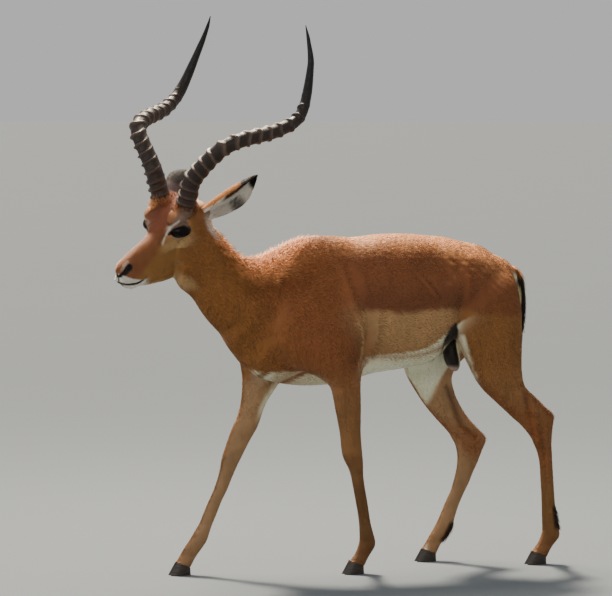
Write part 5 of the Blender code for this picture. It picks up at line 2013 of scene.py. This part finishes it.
# Tufts over the ears.
ear_fur = Strands(ear_points, ear_normals, ear_corners,
                  np.where(ear_inside, 0.22, 0.60) * ramp(ear_part, 0.04, 0.10), SEED + 1)
ear_roots = ear_fur.roots
side_of = np.where(ear_fur.corners[:, 0] < ear_split, -1, 1)
ear_lie = np.zeros_like(ear_roots)
ear_shade = np.zeros_like(ear_roots)
ear_long = np.zeros(ear_fur.count)
ear_lift = np.zeros(ear_fur.count)
ear_patch = np.zeros((ear_fur.count, 2))
for side in (-1, 1):
    mine = side_of == side
    shade, inside, part, lower = ear_colour(ear_roots[mine], ear_fur.normals[mine], side)
    root, end, across, opening = ear_axes(side)
    axis = HEAD_AXES @ (np.array((end - root).normalized()) * (1, -side, 1))
    sweep = HEAD_AXES @ (np.array(across) * -side * (1, -side, 1))
    flow = axis[None] + sweep[None] * (0.45 * lower * np.where(inside, -1.2, 0.5))[:, None]
    flow -= ear_fur.normals[mine] * np.sum(flow * ear_fur.normals[mine], axis=1)[:, None]
    ear_lie[mine] = unit(flow)
    ear_shade[mine] = shade
    edge = ramp(np.abs(lower), 0.62, 0.95)
    ear_long[mine] = np.where(inside, 6.0 + 5.0 * edge * ramp(part, 0.75, 0.5), 4.5)
    ear_lift[mine] = np.radians(np.where(inside, 11.0, 6.0))
    ear_patch[mine] = np.stack([0.02 + 0.46 * np.clip(part, 0, 1) + 0.5 * (side > 0),
                                0.25 + 0.21 * np.clip(lower, -1, 1) + 0.5 * inside], axis=1)
ear_lie = turned(ear_lie, ear_fur.normals, ear_fur.random.normal(0, 0.22, ear_fur.count))
ear_shade *= ear_fur.random.uniform(0.85, 1.15, ear_fur.count)[:, None]
ear_coat = stamp("coat_ears", ear_roots - ear_fur.normals * 0.2, ear_fur.normals, ear_lie,
                 ear_long * ear_fur.random.uniform(0.7, 1.2, ear_fur.count),
                 ear_fur.random.uniform(0.7, 1.0, ear_fur.count),
                 np.full(ear_fur.count, 0.25), ear_lift, ear_shade, ear_patch)
dress(ear_coat, "coat_ears", (), ear_hair)

dress_horns()
dress_eyes()
dress_hooves()


# ---------------------------------------------------------------- floor, light and camera

ground = bmesh.new()
bmesh.ops.create_circle(ground, cap_ends=True, radius=FLOOR_RADIUS,
                         segments=FLOOR_CORNERS)
floor = gather([ground], "floor")
floor.data.materials.append(floor_surface())

world = bpy.data.worlds.new("Studio")
bpy.context.scene.world = world
world.use_nodes = True
backdrop = world.node_tree.nodes["Background"]
backdrop.inputs["Color"].default_value = rgba("F0F1F0")
backdrop.inputs["Strength"].default_value = 0.60


def soft_light(name, place, target, size, power_watts, colour):
    """A square softbox aimed at a point."""
    data = bpy.data.lights.new(name, 'AREA')
    data.shape = 'SQUARE'
    data.size = size
    data.energy = power_watts
    data.color = tuple(paint(colour))
    lamp = bpy.data.objects.new(name, data)
    lamp.location = place
    aim = Vector(target) - Vector(place)
    lamp.rotation_euler = aim.to_track_quat('-Z', 'Y').to_euler()
    bpy.context.scene.collection.objects.link(lamp)


def low_sun(name, direction, spread, watts, colour):
    """A sun shining along a direction, its edge softened over a spread in degrees."""
    data = bpy.data.lights.new(name, 'SUN')
    data.energy = watts
    data.angle = math.radians(spread)
    data.color = tuple(paint(colour))
    lamp = bpy.data.objects.new(name, data)
    lamp.rotation_euler = Vector(direction).to_track_quat('-Z', 'Y').to_euler()
    bpy.context.scene.collection.objects.link(lamp)


low_sun("top and back", (-0.02, -0.56, -0.80), 9, 8.5, "FFF0DC")
# Softboxes: name, place, target, size in metres, watts, colour.
SOFTBOXES = (
    ("over the back", (0.1, 1.25, 2.75), (0.0, 0.0, 0.75), 1.3, 120.0, "FFEFDA"),
    ("near side", (-2.6, -4.6, 2.6), (0.0, 0.0, 0.7), 3.2, 50.0, "FFF6EA"),
    ("front", (-4.2, -0.6, 2.0), (-0.3, 0.0, 0.9), 2.0, 20.0, "F4F6FF"),
)
for softbox in SOFTBOXES:
    soft_light(*softbox)

# The camera stands 8.6 m off, 20 degrees before the beam, and looks 4 degrees down.
CAMERA_AT = (-3.0431, -8.0753, 1.2885)
CAMERA_AIM = (0.34119, 0.93740, -0.06976)
CAMERA_LENS = 203.53         # millimetres, on a sensor 36 mm wide
CAMERA_FAR = 200.0
lens = bpy.data.cameras.new("camera")
lens.lens = CAMERA_LENS
lens.sensor_width = 36.0
lens.clip_end = CAMERA_FAR
camera = bpy.data.objects.new("camera", lens)
camera.location = Vector(CAMERA_AT) + SHIFT
camera.rotation_euler = Vector(CAMERA_AIM).to_track_quat('-Z', 'Y').to_euler()
bpy.context.scene.collection.objects.link(camera)
bpy.context.scene.camera = camera
